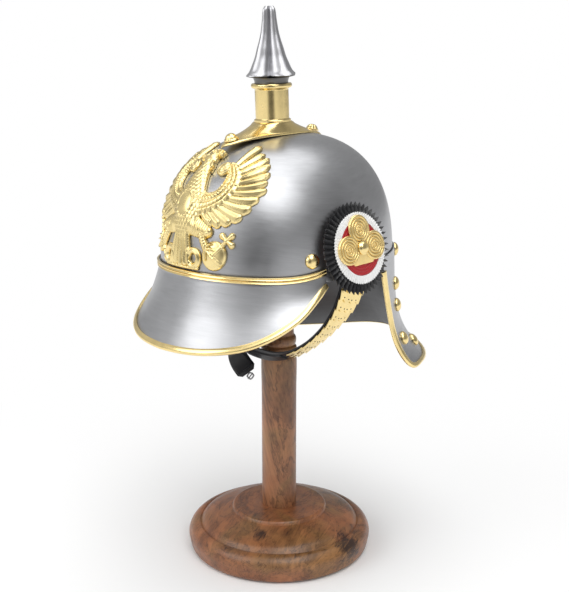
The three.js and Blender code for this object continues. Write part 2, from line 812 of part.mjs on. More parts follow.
// Plan outline of the crown plate at an angle round the axis
function plateEdge(angle) {
  return [
    PLATE_HALF_WIDTH * signedPower(Math.sin(angle), PLATE_PLAN_POWER),
    -PLATE_HALF_LENGTH * Math.cos(angle),
  ];
}

// Height of the plate's underside over the shell, which grows toward the front
function plateUnder(x, y) {
  const forward = Math.max(0, -y / PLATE_HALF_LENGTH);
  return skullHeight(x, y) + PLATE_LIFT + PLATE_FRONT_LIFT * forward ** PLATE_LIFT_POWER;
}

function plateTop(x, y, share) {
  const low = plateUnder(x, y) + PLATE_WALL;
  return lerp(low, PLATE_SEAT_HEIGHT, (1 - share) ** PLATE_SLOPE_POWER);
}

function buildPlate() {
  const top = [];
  const bottom = [];
  for (let i = 0; i < PLATE_SIDES; i += 1) {
    const angle = (i / PLATE_SIDES) * 2 * Math.PI;
    const seat = [PLATE_SEAT_RADIUS * Math.sin(angle), -PLATE_SEAT_RADIUS * Math.cos(angle)];
    const edge = plateEdge(angle);
    const topColumn = [[0, 0, PLATE_SEAT_HEIGHT]];
    const bottomColumn = [[0, 0, SKULL_HEIGHT + PLATE_LIFT]];
    for (const share of PLATE_ROWS) {
      const x = lerp(seat[0], edge[0], share);
      const y = lerp(seat[1], edge[1], share);
      topColumn.push([x, y, plateTop(x, y, share)]);
      bottomColumn.push([x, y, plateUnder(x, y)]);
    }
    top.push(topColumn);
    bottom.push(bottomColumn);
  }
  return shell(top, bottom, true);
}

function domeRows(radius, height, foot = 0) {
  return DOME_PROFILE.map((row) => [radius * row.out, foot + height * row.up]);
}

function buildStud(y) {
  const share = (STUD_OFFSET - PLATE_SEAT_RADIUS) / (PLATE_HALF_LENGTH - PLATE_SEAT_RADIUS);
  const step = 1;
  const slope = (plateTop(0, y + step, share) - plateTop(0, y - step, share)) / (2 * step);
  const normal = unit([0, -slope, 1]);
  const at = plus([0, y, plateTop(0, y, share)], normal, 2 * GAP);
  return stood(turned(domeRows(STUD_RADIUS, STUD_HEIGHT), STUD_SIDES), at, normal);
}

function buildTube() {
  const foot = PLATE_SEAT_HEIGHT + GAP;
  const bore = TUBE_RADIUS - TUBE_WALL;
  const rows = [
    [bore, foot],
    [TUBE_FOOT_RADIUS, foot],
    [TUBE_FOOT_RADIUS, foot + TUBE_FOOT_HEIGHT],
    [TUBE_RADIUS, foot + TUBE_FOOT_HEIGHT + TUBE_BEVEL],
    [TUBE_RADIUS, TUBE_TOP - TUBE_BEVEL],
    [COLLAR_RADIUS - TUBE_BEVEL, TUBE_TOP],
    [COLLAR_RADIUS, (TUBE_TOP + COLLAR_TOP) / 2],
    [COLLAR_RADIUS - TUBE_BEVEL, COLLAR_TOP],
    [bore, COLLAR_TOP],
  ];
  return turned(rows, TUBE_SIDES, true);
}

function buildSpikeNeck() {
  const foot = COLLAR_TOP + GAP;
  const top = SPIKE_FOOT - GAP;
  return turned([[0, foot], [NECK_RADIUS, foot], [NECK_RADIUS, top], [0, top]], NECK_SIDES);
}

function buildSpike() {
  const rows = SPIKE_SECTIONS.map((section) => [
    SPIKE_RADIUS * section.out,
    SPIKE_FOOT + SPIKE_LENGTH * section.up,
  ]);
  const closed = [[0, SPIKE_FOOT], ...rows, [0, SPIKE_TIP - SPIKE_TIP_HOLLOW]];
  const sides = SPIKE_FLUTE.length * SPIKE_FLUTES;
  const geometry = turned(closed, sides, false, (i) => SPIKE_FLUTE[i % SPIKE_FLUTE.length]);
  return geometry.rotateZ(rad(SPIKE_FLUTE_TURN));
}

function buildRivet(at, normal) {
  return stood(turned(domeRows(RIVET_RADIUS, RIVET_HEIGHT), RIVET_SIDES), at, normal);
}

function skullRivet(place, side) {
  const theta = side * rad(place.angle);
  const phi = Math.asin((place.height / SKULL_HEIGHT) ** (domePower(theta) / 2));
  const normal = skullNormal(theta, phi);
  return buildRivet(plus(skullPoint(theta, phi), normal, place.over), normal);
}

function guardRivet(place, side) {
  const step = 0.2;
  const angle = 180 + side * (place.angle - 180);
  const at = guardPoint(angle, place.drop);
  const round = minus(guardPoint(angle + step, place.drop), guardPoint(angle - step, place.drop));
  const down = minus(guardPoint(angle, place.drop + step), guardPoint(angle, place.drop - step));
  const across = unit(cross(round, down));
  const normal = dot(across, [at[0], at[1], 0]) < 0 ? across.map((v) => -v) : across;
  return buildRivet(plus(at, normal, GUARD_WALL + 2 * GAP), normal);
}

// Rosette parts are drawn about Z, then stood against the side of the shell
function rosettePlace(geometry, side) {
  const turn = new THREE.Matrix4().makeRotationY(rad(90 - ROSETTE_TILT));
  geometry.applyMatrix4(turn);
  geometry.translate(ROSETTE_X, ROSETTE_Y, ROSETTE_Z);
  return side > 0 ? geometry : mirrored(geometry);
}

// The same body on the wearer's other side
function mirrored(geometry) {
  const position = geometry.getAttribute('position');
  const triangles = [];
  for (let i = 0; i < position.count; i += 3) {
    const corners = [0, 1, 2].map((k) => [-position.getX(i + k), position.getY(i + k), position.getZ(i + k)]);
    triangles.push(corners);
  }
  return bodyOf(triangles);
}

function rosetteRing() {
  const frames = [];
  const count = ROSETTE_TEETH * 2;
  for (let i = 0; i < count; i += 1) {
    const angle = (i / count) * 2 * Math.PI;
    frames.push({ at: [0, 0, 0], a: [Math.cos(angle), Math.sin(angle), 0], b: [0, 0, 1] });
  }
  const inner = WHITE_RADIUS - ROSETTE_RING_UNDER;
  return sweep(frames, (i) => {
    const outer = ROSETTE_RADIUS - (i % 2) * ROSETTE_TOOTH;
    const low = ROSETTE_RING_EDGE - (i % 2) * ROSETTE_PLEAT;
    return [[inner, ROSETTE_RING_TOP], [outer, low - ROSETTE_RING_HALF], [outer, low + ROSETTE_RING_HALF]];
  }, true);
}

function rosetteWhite() {
  const foot = ROSETTE_BACK;
  const inner = WHITE_RADIUS - WHITE_WIDTH;
  const rows = [
    [inner, foot],
    [WHITE_RADIUS, foot],
    [WHITE_RADIUS, foot + WHITE_WALL],
    [inner, foot + WHITE_WALL],
  ];
  return turned(rows, ROSETTE_SIDES, true);
}

function rosetteRed() {
  const outer = WHITE_RADIUS - WHITE_WIDTH - GAP;
  const foot = ROSETTE_BACK;
  return turned([[0, foot], [outer, foot], [outer, foot + RED_WALL], [0, foot + RED_WALL]], ROSETTE_SIDES);
}

function manifoldOf(geometry) {
  const clean = geometry.clone();
  clean.deleteAttribute('normal');
  clean.deleteAttribute('uv');
  const merged = mergeVertices(clean, 1e-5);
  const mesh = new wasm.Mesh({
    numProp: 3,
    vertProperties: new Float32Array(merged.getAttribute('position').array),
    triVerts: new Uint32Array(merged.getIndex().array),
  });
  mesh.merge();
  return new wasm.Manifold(mesh);
}

function geometryOf(solid) {
  const mesh = solid.getMesh();
  const triangles = [];
  const corner = (k) => [...mesh.vertProperties.slice(k * mesh.numProp, k * mesh.numProp + 3)];
  for (let i = 0; i < mesh.triVerts.length; i += 3) {
    triangles.push([corner(mesh.triVerts[i]), corner(mesh.triVerts[i + 1]), corner(mesh.triVerts[i + 2])]);
  }
  return bodyOf(triangles);
}

function joined(geometries) {
  const solids = geometries.map(manifoldOf);
  return geometryOf(wasm.Manifold.union(solids).simplify(JOIN_TOLERANCE));
}

// Three coiled loops round the middle of the rosette
function rosetteTrefoil() {
  const foot = TREFOIL_FOOT;
  const lobes = [];
  for (const turn of LOBE_TURNS) {
    const lobe = turned(LOBE_PROFILE.map((row) => [row.out, foot + LOBE_HEIGHT * row.up]), LOBE_SIDES);
    lobe.scale(LOBE_HALF_LENGTH, LOBE_HALF_WIDTH, 1);
    lobe.translate(LOBE_OUT, 0, 0);
    lobe.rotateZ(rad(turn));
    lobes.push(lobe);
  }
  const webTop = foot + WEB_HEIGHT;
  const web = turned([[0, foot], [WEB_RADIUS, foot], [WEB_RADIUS, webTop], [0, webTop]], LOBE_SIDES);
  return joined([...lobes, web]);
}

function rosetteBoss() {
  const foot = TREFOIL_FOOT + LOBE_HEIGHT + GAP;
  return turned(domeRows(BOSS_RADIUS, BOSS_HEIGHT, foot), BOSS_SIDES);
}

// The lug that stands on the strap's end and carries the rosette
function rosetteStem() {
  const strapTop = (STRAP_PATH[0].across + STRAP_PATH[1].across) / 2 + STRAP_WALL;
  const tilt = rad(ROSETTE_TILT);
  const back = (strapTop - ROSETTE_X) / Math.cos(tilt) + STEM_RADIUS * Math.tan(tilt);
  const foot = back + GAP;
  return turned([[0, foot], [STEM_RADIUS, foot], [STEM_RADIUS, STEM_TOP], [0, STEM_TOP]], STEM_SIDES);
}

function strapCurve() {
  const left = STRAP_PATH.map((row) => new THREE.Vector3(row.across, -row.forward, -row.drop));
  const right = STRAP_PATH.slice(0, -1).map((row) => new THREE.Vector3(-row.across, -row.forward, -row.drop));
  return new THREE.CatmullRomCurve3([...left, ...right.reverse()]);
}

// A frame of the strap: s 0 at the left rosette, 1 under the chin, 2 at the right rosette
function strapFrame(curve, s) {
  const last = STRAP_PATH.length - 1;
  const place = Math.min(s, 2 - s) * last;
  const row = Math.min(Math.floor(place), last - 1);
  const share = place - row;
  const width = lerp(STRAP_PATH[row].width, STRAP_PATH[row + 1].width, share);
  const lean = rad(lerp(STRAP_PATH[row].lean, STRAP_PATH[row + 1].lean, share));
  const tangent = curve.getTangent(s / 2);
  const along = [tangent.x, tangent.y, tangent.z];
  const forward = [0, -Math.cos(lean), Math.sin(lean)];
  const out = unit(cross(forward, along));
  const side = unit(cross(along, out));
  return { at: curve.getPoint(s / 2).toArray(), a: out, b: side, width };
}

function buildStrap() {
  const curve = strapCurve();
  const frames = [];
  for (let i = 0; i <= STRAP_STEPS * 2; i += 1) {
    frames.push(strapFrame(curve, i / STRAP_STEPS));
  }
  return sweep(frames, (i) => {
    const half = frames[i].width / 2;
    return [[0, -half], [STRAP_WALL, -half], [STRAP_WALL, half], [0, half]];
  });
}

// Lapped brass scales over the strap, each one standing a little proud of the next
function buildScales(side) {
  const curve = strapCurve();
  const frames = [];
  const sections = [];
  for (let i = 0; i < SCALES; i += 1) {
    for (const part of [0, SCALE_LAP]) {
      const s = lerp(SCALE_START, SCALE_END, (i + part) / SCALES);
      const frame = strapFrame(curve, side > 0 ? s : 2 - s);
      const half = frame.width / 2 - (part === 0 ? SCALE_PINCH : 0);
      const low = STRAP_WALL + 2 * GAP;
      const high = low + SCALE_WALL + SCALE_STEP * part;
      const top = half * SCALE_TOP_SHARE;
      frames.push(frame);
      sections.push([[low, -half], [low, half], [high, top], [high + SCALE_RIDGE, 0], [high, -top]]);
    }
  }
  if (side < 0) {
    frames.reverse();
    sections.reverse();
  }
  return sweep(frames, (i) => sections[i]);
}

// Frames of the loose end: a through the leather, b across it
function tailFrames() {
  const points = TAIL_PATH.map((row) => [row.across, -row.forward, -row.drop]);
  return points.map((at, i) => {
    const along = unit(minus(points[Math.min(i + 1, points.length - 1)], points[Math.max(i - 1, 0)]));
    const turn = rad(TAIL_PATH[i].turn);
    const out = unit(cross(along, [Math.cos(turn), Math.sin(turn), 0]));
    return { at, along, a: out, b: unit(cross(out, along)) };
  });
}

function buildTail() {
  const half = TAIL_WIDTH / 2;
  return sweep(tailFrames(), () => [[0, -half], [TAIL_WALL, -half], [TAIL_WALL, half], [0, half]]);
}

function buildBuckle() {
  const half = BUCKLE_SIZE / 2;
  const hole = half - BUCKLE_BAR;
  const frames = [];
  for (let i = 0; i < BUCKLE_SIDES; i += 1) {
    const angle = ((i + 0.5) / BUCKLE_SIDES) * 2 * Math.PI;
    frames.push({ at: [0, 0, 0], a: [Math.cos(angle), Math.sin(angle), 0], b: [0, 0, 1] });
  }
  const thick = BUCKLE_BAR / 2;
  const ring = sweep(frames, () => [[hole, -thick], [half, -thick], [half, thick], [hole, thick]], true);
  const end = tailFrames().pop();
  const middle = plus(plus(end.at, end.a, TAIL_WALL / 2), end.along, half + GAP);
  return stood(ring, middle, end.a);
}

function buildPost() {
  const head = BROW_HEIGHT + (SKULL_HEIGHT - SKULL_WALL) * Math.cos(rad(HELMET_TILT)) - GAP;
  const foot = BASE_HEIGHT + GAP;
  const rows = [
    [0, foot],
    [POST_RADIUS, foot],
    ...POST_RINGS.map((row) => [POST_RADIUS * row.out, POST_SHAFT_TOP + POST_RINGS_HEIGHT * row.up]),
    [POST_WAIST_RADIUS, head - POST_WAIST_DEPTH],
    [POST_HEAD_RADIUS, head - POST_HEAD_DEPTH],
    [POST_HEAD_RADIUS, head - POST_HEAD_CROWN],
    [0, head],
  ];
  return turned(rows, POST_SIDES);
}

function buildBase() {
  return turned(BASE_PROFILE.map((row) => [BASE_RADIUS * row.out, BASE_HEIGHT * row.up]), BASE_SIDES);
}

const frontArc = (() => {
  const table = [{ arc: 0, phi: 0 }];
  let from = skullPoint(0, 0);
  for (let i = 1; i <= ARC_STEPS; i += 1) {
    const phi = (i / ARC_STEPS) * (Math.PI / 2);
    const to = skullPoint(0, phi);
    table.push({ arc: table[i - 1].arc + Math.hypot(...minus(to, from)), phi });
    from = to;
  }
  return table;
})();

// A point over the shell from a place on the flat eagle
function onDome(across, up, over) {
  let i = 0;
  while (i < ARC_STEPS - 1 && frontArc[i + 1].arc < up) {
    i += 1;
  }
  const share = (up - frontArc[i].arc) / (frontArc[i + 1].arc - frontArc[i].arc);
  const phi = lerp(frontArc[i].phi, frontArc[i + 1].phi, share);
  const reach = SKULL_FRONT * Math.cos(phi) ** (2 / domePower(0));
  return skullPoint(across / reach, phi, over);
}

// Relief over a grid of [across, up, tall], with its back sunk below the shell until it is cut
function relief(grid, round = false) {
  const outer = grid.map((column) => column.map(([u, v, tall]) => onDome(u, v, EAGLE_BACK + tall)));
  const inner = grid.map((column) => column.map(([u, v]) => onDome(u, v, -EAGLE_SUNK)));
  return shell(outer, inner, round);
}

// The shell's outer form as a solid, faceted like the shell and standing a little over it
function domeSolid(over) {
  const columns = [];
  for (let i = 0; i < SKULL_ROUND; i += 1) {
    const theta = (i / SKULL_ROUND) * 2 * Math.PI;
    const column = [[0, 0, 0]];
    for (let j = 0; j < SKULL_ROWS; j += 1) {
      column.push(skullPoint(theta, (j / SKULL_ROWS) * (Math.PI / 2), over));
    }
    column.push([0, 0, SKULL_HEIGHT + over]);
    columns.push(column);
  }
  const triangles = [];
  columns.forEach((column, i) => {
    const next = columns[(i + 1) % SKULL_ROUND];
    for (let j = 0; j < column.length - 1; j += 1) {
      quad(triangles, column[j], next[j], next[j + 1], column[j + 1]);
    }
  });
  return bodyOf(triangles);
}

// Feathers side by side, each a ridge between two valleys, the tips standing free of each other
function featherFan(feathers, stations, side) {
  const lines = [];
  const ends = (row) => [row.rootAcross, row.rootUp, row.tipAcross, row.tipUp];
  feathers.forEach((row, i) => {
    const own = ends(row);
    const before = ends(feathers[i - 1] || row);
    const after = ends(feathers[i + 1] || row);
    const valley = (one, two, sign) => {
      const root = [(one[0] + two[0]) / 2, (one[1] + two[1]) / 2];
      const tip = [(one[2] + two[2]) / 2, (one[3] + two[3]) / 2];
      if (one === two) {
        const across = unit([own[3] - own[1], own[0] - own[2], 0]);
        root[0] += across[0] * FEATHER_ROOT_HALF * sign;
        root[1] += across[1] * FEATHER_ROOT_HALF * sign;
        tip[0] += across[0] * FEATHER_TIP_HALF * sign;
        tip[1] += across[1] * FEATHER_TIP_HALF * sign;
      }
      const gap = [lerp(root[0], tip[0], FEATHER_JOINED), lerp(root[1], tip[1], FEATHER_JOINED)];
      return { root, tip: gap, tall: EAGLE_WALL };
    };
    lines.push(valley(i === 0 ? own : before, own, -1));
    lines.push({ root: own.slice(0, 2), tip: own.slice(2), tall: EAGLE_WALL + FEATHER_RISE });
    if (i === feathers.length - 1) {
      lines.push(valley(own, own, 1));
    }
  });
  const grid = lines.map((line) => {
    const column = [];
    for (let j = 0; j <= stations; j += 1) {
      const t = j / stations;
      const tall = line.tall * (t === 1 ? FEATHER_TIP_TALL : 1);
      column.push([side * lerp(line.root[0], line.tip[0], t), lerp(line.root[1], line.tip[1], t), tall]);
    }
    return column;
  });
  return relief(grid);
}

function wingArm(side) {
  return relief(WING_ARM.map((row) => ARM_PROFILE.map((tall, k) => {
    const t = k / (ARM_PROFILE.length - 1);
    return [side * lerp(row.inAcross, row.outAcross, t), lerp(row.inUp, row.outUp, t), tall];
  })));
}

// A ridged strip from rows of across, up and half width
function ridge(rows, tall, side = 1) {
  return relief(rows.map((row, i) => {
    const from = rows[Math.max(i - 1, 0)];
    const to = rows[Math.min(i + 1, rows.length - 1)];
    const size = Math.hypot(to.across - from.across, to.up - from.up);
    const right = [(to.up - from.up) / size, -(to.across - from.across) / size];
    return [-1, 0, 1].map((k) => [
      side * (row.across + right[0] * row.half * k),
      row.up + right[1] * row.half * k,
      k === 0 ? tall : EAGLE_WALL,
    ]);
  }));
}

// A low dome, or a raised ring when it has an eye
function boss({ across, up, radius, tall, eye = 0 }, side = 1) {
  const shares = eye > 0 ? [eye / radius, (eye / radius + 1) / 2, 1] : [0, KNOB_SHOULDER.out, 1];
  const grid = [];
  for (let i = 0; i < KNOB_SIDES; i += 1) {
    const angle = (i / KNOB_SIDES) * 2 * Math.PI;
    grid.push(shares.map((share, k) => [
      side * across + Math.cos(angle) * radius * share,
      up + Math.sin(angle) * radius * share,
      eye > 0 && k === 0 ? EAGLE_WALL : [tall, tall * KNOB_SHOULDER.tall, EAGLE_WALL][k],
    ]));
  }
  return relief(grid, true);
}

function tailFan() {
  const count = TAIL_FEATHERS * 2;
  const grid = [];
  for (let i = 0; i <= count; i += 1) {
    const share = (2 * i) / count - 1;
    const proud = i % 2;
    grid.push(TAIL.map((row, j) => {
      const low = j === TAIL.length - 1;
      const drop = low ? proud * TAIL_TIP_REACH : 0;
      return [share * row.half, row.up - drop, EAGLE_WALL + (proud ? TAIL_CREST : TAIL_VALLEY)];
    }));
  }
  return relief(grid);
}

function rowsRelief(rows, steps, edge) {
  return relief(rows.map((row) => {
    const column = [];
    for (let k = 0; k <= steps; k += 1) {
      const s = (2 * k) / steps - 1;
      const from = row.from === undefined ? -row.half : row.from;
      const to = row.to === undefined ? row.half : row.to;
      column.push([lerp(from, to, (s + 1) / 2), row.up, lerp(edge, row.tall, 1 - s * s)]);
    }
    return column;
  }));
}

function buildEagle() {
  const pieces = [
    rowsRelief(BODY, BODY_STEPS, BODY_EDGE),
    rowsRelief(NECK, BODY_STEPS, NECK_EDGE),
    tailFan(),
    ridge([-1, -0.5, 0, 0.5, 1].map((share) => (
      { across: FOOT_BAR.half * share, up: FOOT_BAR.up, half: FOOT_BAR.thick }
    )), FOOT_BAR.tall),
    boss(ORB),
    ridge(ORB_CROSS_UPRIGHT, CROSS_UPRIGHT_TALL),
    ridge(ORB_CROSS_BAR, CROSS_BAR_TALL),
    ridge(SCEPTRE, SCEPTRE_TALL),
  ];
  for (const side of [1, -1]) {
    pieces.push(featherFan(FEATHERS, FEATHER_STEPS, side));
    pieces.push(wingArm(side));
    pieces.push(boss(CURL, side));
    pieces.push(ridge(LEG, LEG_TALL, side));
    pieces.push(ridge(SHANK, SHANK_TALL, side));
    pieces.push(boss(SCROLL, side));
  }
  const raised = wasm.Manifold.union(pieces.map(manifoldOf));
  return geometryOf(raised.subtract(manifoldOf(domeSolid(EAGLE_BACK))).simplify(JOIN_TOLERANCE));
}

const helmetPlace = new THREE.Matrix4()
  .makeTranslation(HELMET_X, HELMET_Y, BROW_HEIGHT)
  .multiply(new THREE.Matrix4().makeRotationX(rad(HELMET_TILT)));

const group = new THREE.Group();
group.name = 'pickelhaube';

function add(name, geometry, look, inHelmet = true) {
  const material = new THREE.MeshStandardMaterial({
    color: look.colour,
    roughness: look.roughness,
    metalness: look.metalness,
  });
  if (inHelmet) {
    geometry.applyMatrix4(helmetPlace);
  }
  geometry.computeVertexNormals();
  const mesh = new THREE.Mesh(geometry, material);
  mesh.name = name;
  group.add(mesh);
}

add('stand_base', buildBase(), WOOD, false);
add('stand_post', buildPost(), WOOD, false);
add('skull', buildSkull(), STEEL);
const visorSheet = thickened(visorGrid(), VISOR_WALL);
add('visor', shell(visorSheet.outer, visorSheet.inner, false), STEEL);
add('visor_binding', buildEdging(visorSheet, VISOR_WALL), BRASS);
add('front_band', buildBand(), BRASS);
const guardSheet = thickened(guardGrid(), GUARD_WALL);
add('neck_guard', shell(guardSheet.outer, guardSheet.inner, false), STEEL);
add('neck_guard_binding', buildEdging(guardSheet, GUARD_WALL), BRASS);
add('crown_plate', buildPlate(), BRASS);
add('crown_stud_front', buildStud(-STUD_OFFSET), BRASS);
add('crown_stud_rear', buildStud(STUD_OFFSET), BRASS);
add('spike_tube', buildTube(), BRASS);
add('spike_neck', buildSpikeNeck(), DARK_METAL);
add('spike', buildSpike(), STEEL);
add('eagle', buildEagle(), BRASS);
add('chin_strap', buildStrap(), LEATHER);
add('strap_tail', buildTail(), LEATHER);
add('strap_buckle', buildBuckle(), STEEL);
for (const [word, side] of [['left', 1], ['right', -1]]) {
  add(`chin_scales_${word}`, buildScales(side), BRASS);
  add(`rosette_ring_${word}`, rosettePlace(rosetteRing(), side), BLACK_CLOTH);
  add(`rosette_white_${word}`, rosettePlace(rosetteWhite(), side), WHITE_PAINT);
  add(`rosette_red_${word}`, rosettePlace(rosetteRed(), side), RED_PAINT);
  add(`rosette_trefoil_${word}`, rosettePlace(rosetteTrefoil(), side), BRASS);
  add(`rosette_boss_${word}`, rosettePlace(rosetteBoss(), side), BRASS);
  add(`rosette_stem_${word}`, rosettePlace(rosetteStem(), side), BRASS);
  add(`rivet_front_${word}`, skullRivet(FRONT_RIVET, side), BRASS);
  add(`rivet_rear_${word}`, skullRivet(REAR_RIVET, side), BRASS);
  GUARD_RIVETS.forEach((place, i) => {
    add(`rivet_guard_${word}_${i + 1}`, guardRivet(place, side), BRASS);
  });
}

export default group;
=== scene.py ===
"""Visual model of a spiked parade helmet on its turned wooden stand.

Sizes are in millimetres. The helmet's own frame starts in the middle of its brow line, with the front
toward -Y, the wearer's left toward +X and the crown toward +Z. Meshes are written in metres in the
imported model's frame.
"""
import logging
import math
from dataclasses import dataclass
from enum import Enum
from typing import Callable, Optional, Sequence, Union

import bmesh
import bpy
import numpy as np
from mathutils import Matrix, Vector


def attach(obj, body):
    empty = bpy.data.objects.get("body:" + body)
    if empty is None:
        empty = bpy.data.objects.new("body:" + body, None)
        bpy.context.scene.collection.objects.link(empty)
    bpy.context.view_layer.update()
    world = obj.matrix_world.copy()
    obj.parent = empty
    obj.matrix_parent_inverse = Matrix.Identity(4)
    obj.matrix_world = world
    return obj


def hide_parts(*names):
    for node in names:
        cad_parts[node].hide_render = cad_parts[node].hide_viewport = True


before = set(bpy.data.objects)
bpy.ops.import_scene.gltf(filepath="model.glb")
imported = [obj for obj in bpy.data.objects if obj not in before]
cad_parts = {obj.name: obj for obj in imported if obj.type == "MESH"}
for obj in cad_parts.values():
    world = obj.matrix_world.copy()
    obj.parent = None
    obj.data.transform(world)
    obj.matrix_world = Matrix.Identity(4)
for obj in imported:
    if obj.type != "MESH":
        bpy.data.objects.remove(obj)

LOG = logging.getLogger("helmet")
MM = 0.001
TURN = 2 * math.pi
Socket = Union[bpy.types.NodeSocket, float, tuple]


class Slot(Enum):
    """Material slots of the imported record."""

    WOOD = "turned_wood"
    STEEL = "polished_steel"
    BRASS = "polished_brass"
    DARK = "dark_metal"
    LEATHER = "black_leather"
    CLOTH = "black_cloth"
    WHITE = "white_paint"
    RED = "red_paint"


class Side(Enum):
    """The wearer's two sides, with the sign of X on each."""

    LEFT = 1
    RIGHT = -1

    @property
    def word(self) -> str:
        """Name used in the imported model's nodes."""
        return self.name.lower()


# Node trees


class Tree:
    """A small hand for building one material's or the world's node tree."""

    def __init__(self, tree: bpy.types.NodeTree) -> None:
        """Empties a node tree and keeps it."""
        self.tree = tree
        tree.nodes.clear()

    def node(self, kind: str, inputs: Optional[dict] = None, **settings: object) -> bpy.types.Node:
        """Adds a node.

        Args:
            kind: the node's type name.
            inputs: values or sockets for its inputs, by name or number.
            settings: the node's own properties.

        Returns:
            The new node.
        """
        made = self.tree.nodes.new(kind)
        for key, value in settings.items():
            setattr(made, key, value)
        for key, value in (inputs or {}).items():
            if isinstance(value, bpy.types.NodeSocket):
                self.tree.links.new(value, made.inputs[key])
            else:
                made.inputs[key].default_value = value
        return made

    def math(self, operation: str, a: Socket, b: Socket = 0.0) -> bpy.types.NodeSocket:
        """Socket of a Math node's operation on two values or sockets."""
        return self.node("ShaderNodeMath", {0: a, 1: b}, operation=operation).outputs[0]

    def blend(self, a: Socket, b: Socket, share: float) -> bpy.types.NodeSocket:
        """Socket of two values' sum, with a share of the first and the rest of the second."""
        return self.math("ADD", self.math("MULTIPLY", a, share), self.math("MULTIPLY", b, 1.0 - share))

    def vector(self, operation: str, a: Socket, b: Socket = (0.0, 0.0, 0.0)) -> bpy.types.NodeSocket:
        """Socket of a Vector Math node's operation: its value where it gives one."""
        made = self.node("ShaderNodeVectorMath", {0: a, 1: b}, operation=operation)
        return made.outputs["Value" if operation in ("DOT_PRODUCT", "LENGTH", "DISTANCE") else "Vector"]

    def scaled(self, vector: Socket, share: Socket) -> bpy.types.NodeSocket:
        """A vector or colour times a value."""
        return self.node("ShaderNodeVectorMath", {0: vector, "Scale": share}, operation="SCALE").outputs[0]

    def mapped(self, vector: Socket, **change: tuple) -> bpy.types.NodeSocket:
        """Coordinates turned or scaled by a Mapping node's named inputs."""
        return self.node("ShaderNodeMapping", {"Vector": vector, **change}).outputs[0]

    def place(self) -> bpy.types.NodeSocket:
        """Object coordinates, which are the model's own metres."""
        return self.node("ShaderNodeTexCoord").outputs["Object"]

    def noise(self, vector: Socket, scale: float, detail: float = 2.0, rough: float = 0.5,
              swirl: float = 0.0) -> bpy.types.NodeSocket:
        """Socket of noise, about 0.5 in the mean; swirl is how far it is stirred."""
        inputs = {"Vector": vector, "Scale": scale, "Detail": detail, "Roughness": rough,
                  "Distortion": swirl}
        return self.node("ShaderNodeTexNoise", inputs).outputs["Fac"]

    def ramp(self, value: Socket, stops: Sequence[tuple]) -> bpy.types.NodeSocket:
        """Adds a colour ramp.

        Args:
            value: socket that runs from 0 to 1.
            stops: rows of place and (red, green, blue).

        Returns:
            The colour's socket.
        """
        made = self.node("ShaderNodeValToRGB", {"Fac": value})
        band = made.color_ramp
        while len(band.elements) < len(stops):
            band.elements.new(0.5)
        for element, (at, colour) in zip(band.elements, stops):
            element.position = at
            element.color = (*colour, 1.0)
        return made.outputs["Color"]

    def spread(self, value: Socket, low: float, high: float, to_low: float, to_high: float,
               kind: str = "LINEAR") -> bpy.types.NodeSocket:
        """Socket of a value mapped from one range onto another."""
        inputs = {"Value": value, "From Min": low, "From Max": high, "To Min": to_low, "To Max": to_high}
        return self.node("ShaderNodeMapRange", inputs, interpolation_type=kind).outputs[0]

    def bump(self, height: Socket, depth: float, strength: float = 1.0,
             under: Optional[Socket] = None) -> bpy.types.NodeSocket:
        """Adds a bump.

        Args:
            height: socket that runs from 0 to 1.
            depth: full depth in metres.
            strength: share of the effect.
            under: another bump's normal to build on.

        Returns:
            The normal's socket.
        """
        inputs = {"Height": height, "Distance": depth, "Strength": strength}
        if under is not None:
            inputs["Normal"] = under
        return self.node("ShaderNodeBump", inputs).outputs["Normal"]

    def surface(self, inputs: dict) -> None:
        """Adds the principled shader, with inputs by name, and the output."""
        shader = self.node("ShaderNodeBsdfPrincipled", inputs)
        self.node("ShaderNodeOutputMaterial", {"Surface": shader.outputs[0]})


# Finishes


@dataclass(frozen=True)
class Finish:
    """A finish on one slot: its name, colour and gloss."""

    name: str
    slot: Slot
    colour: tuple = (0.5, 0.5, 0.5)
    roughness: float = 0.4

    def fill(self, tree: Tree) -> None:
        """Writes the finish's nodes in an empty tree."""
        tree.surface({"Base Color": (*self.colour, 1.0), "Roughness": self.roughness})

    def material(self) -> bpy.types.Material:
        """The finish's material, made on first use."""
        found = bpy.data.materials.get(self.name)
        if found is None:
            found = bpy.data.materials.new(self.name)
            found.use_nodes = True
            found.diffuse_color = (*self.colour, 1.0)
            self.fill(Tree(found.node_tree))
        return found


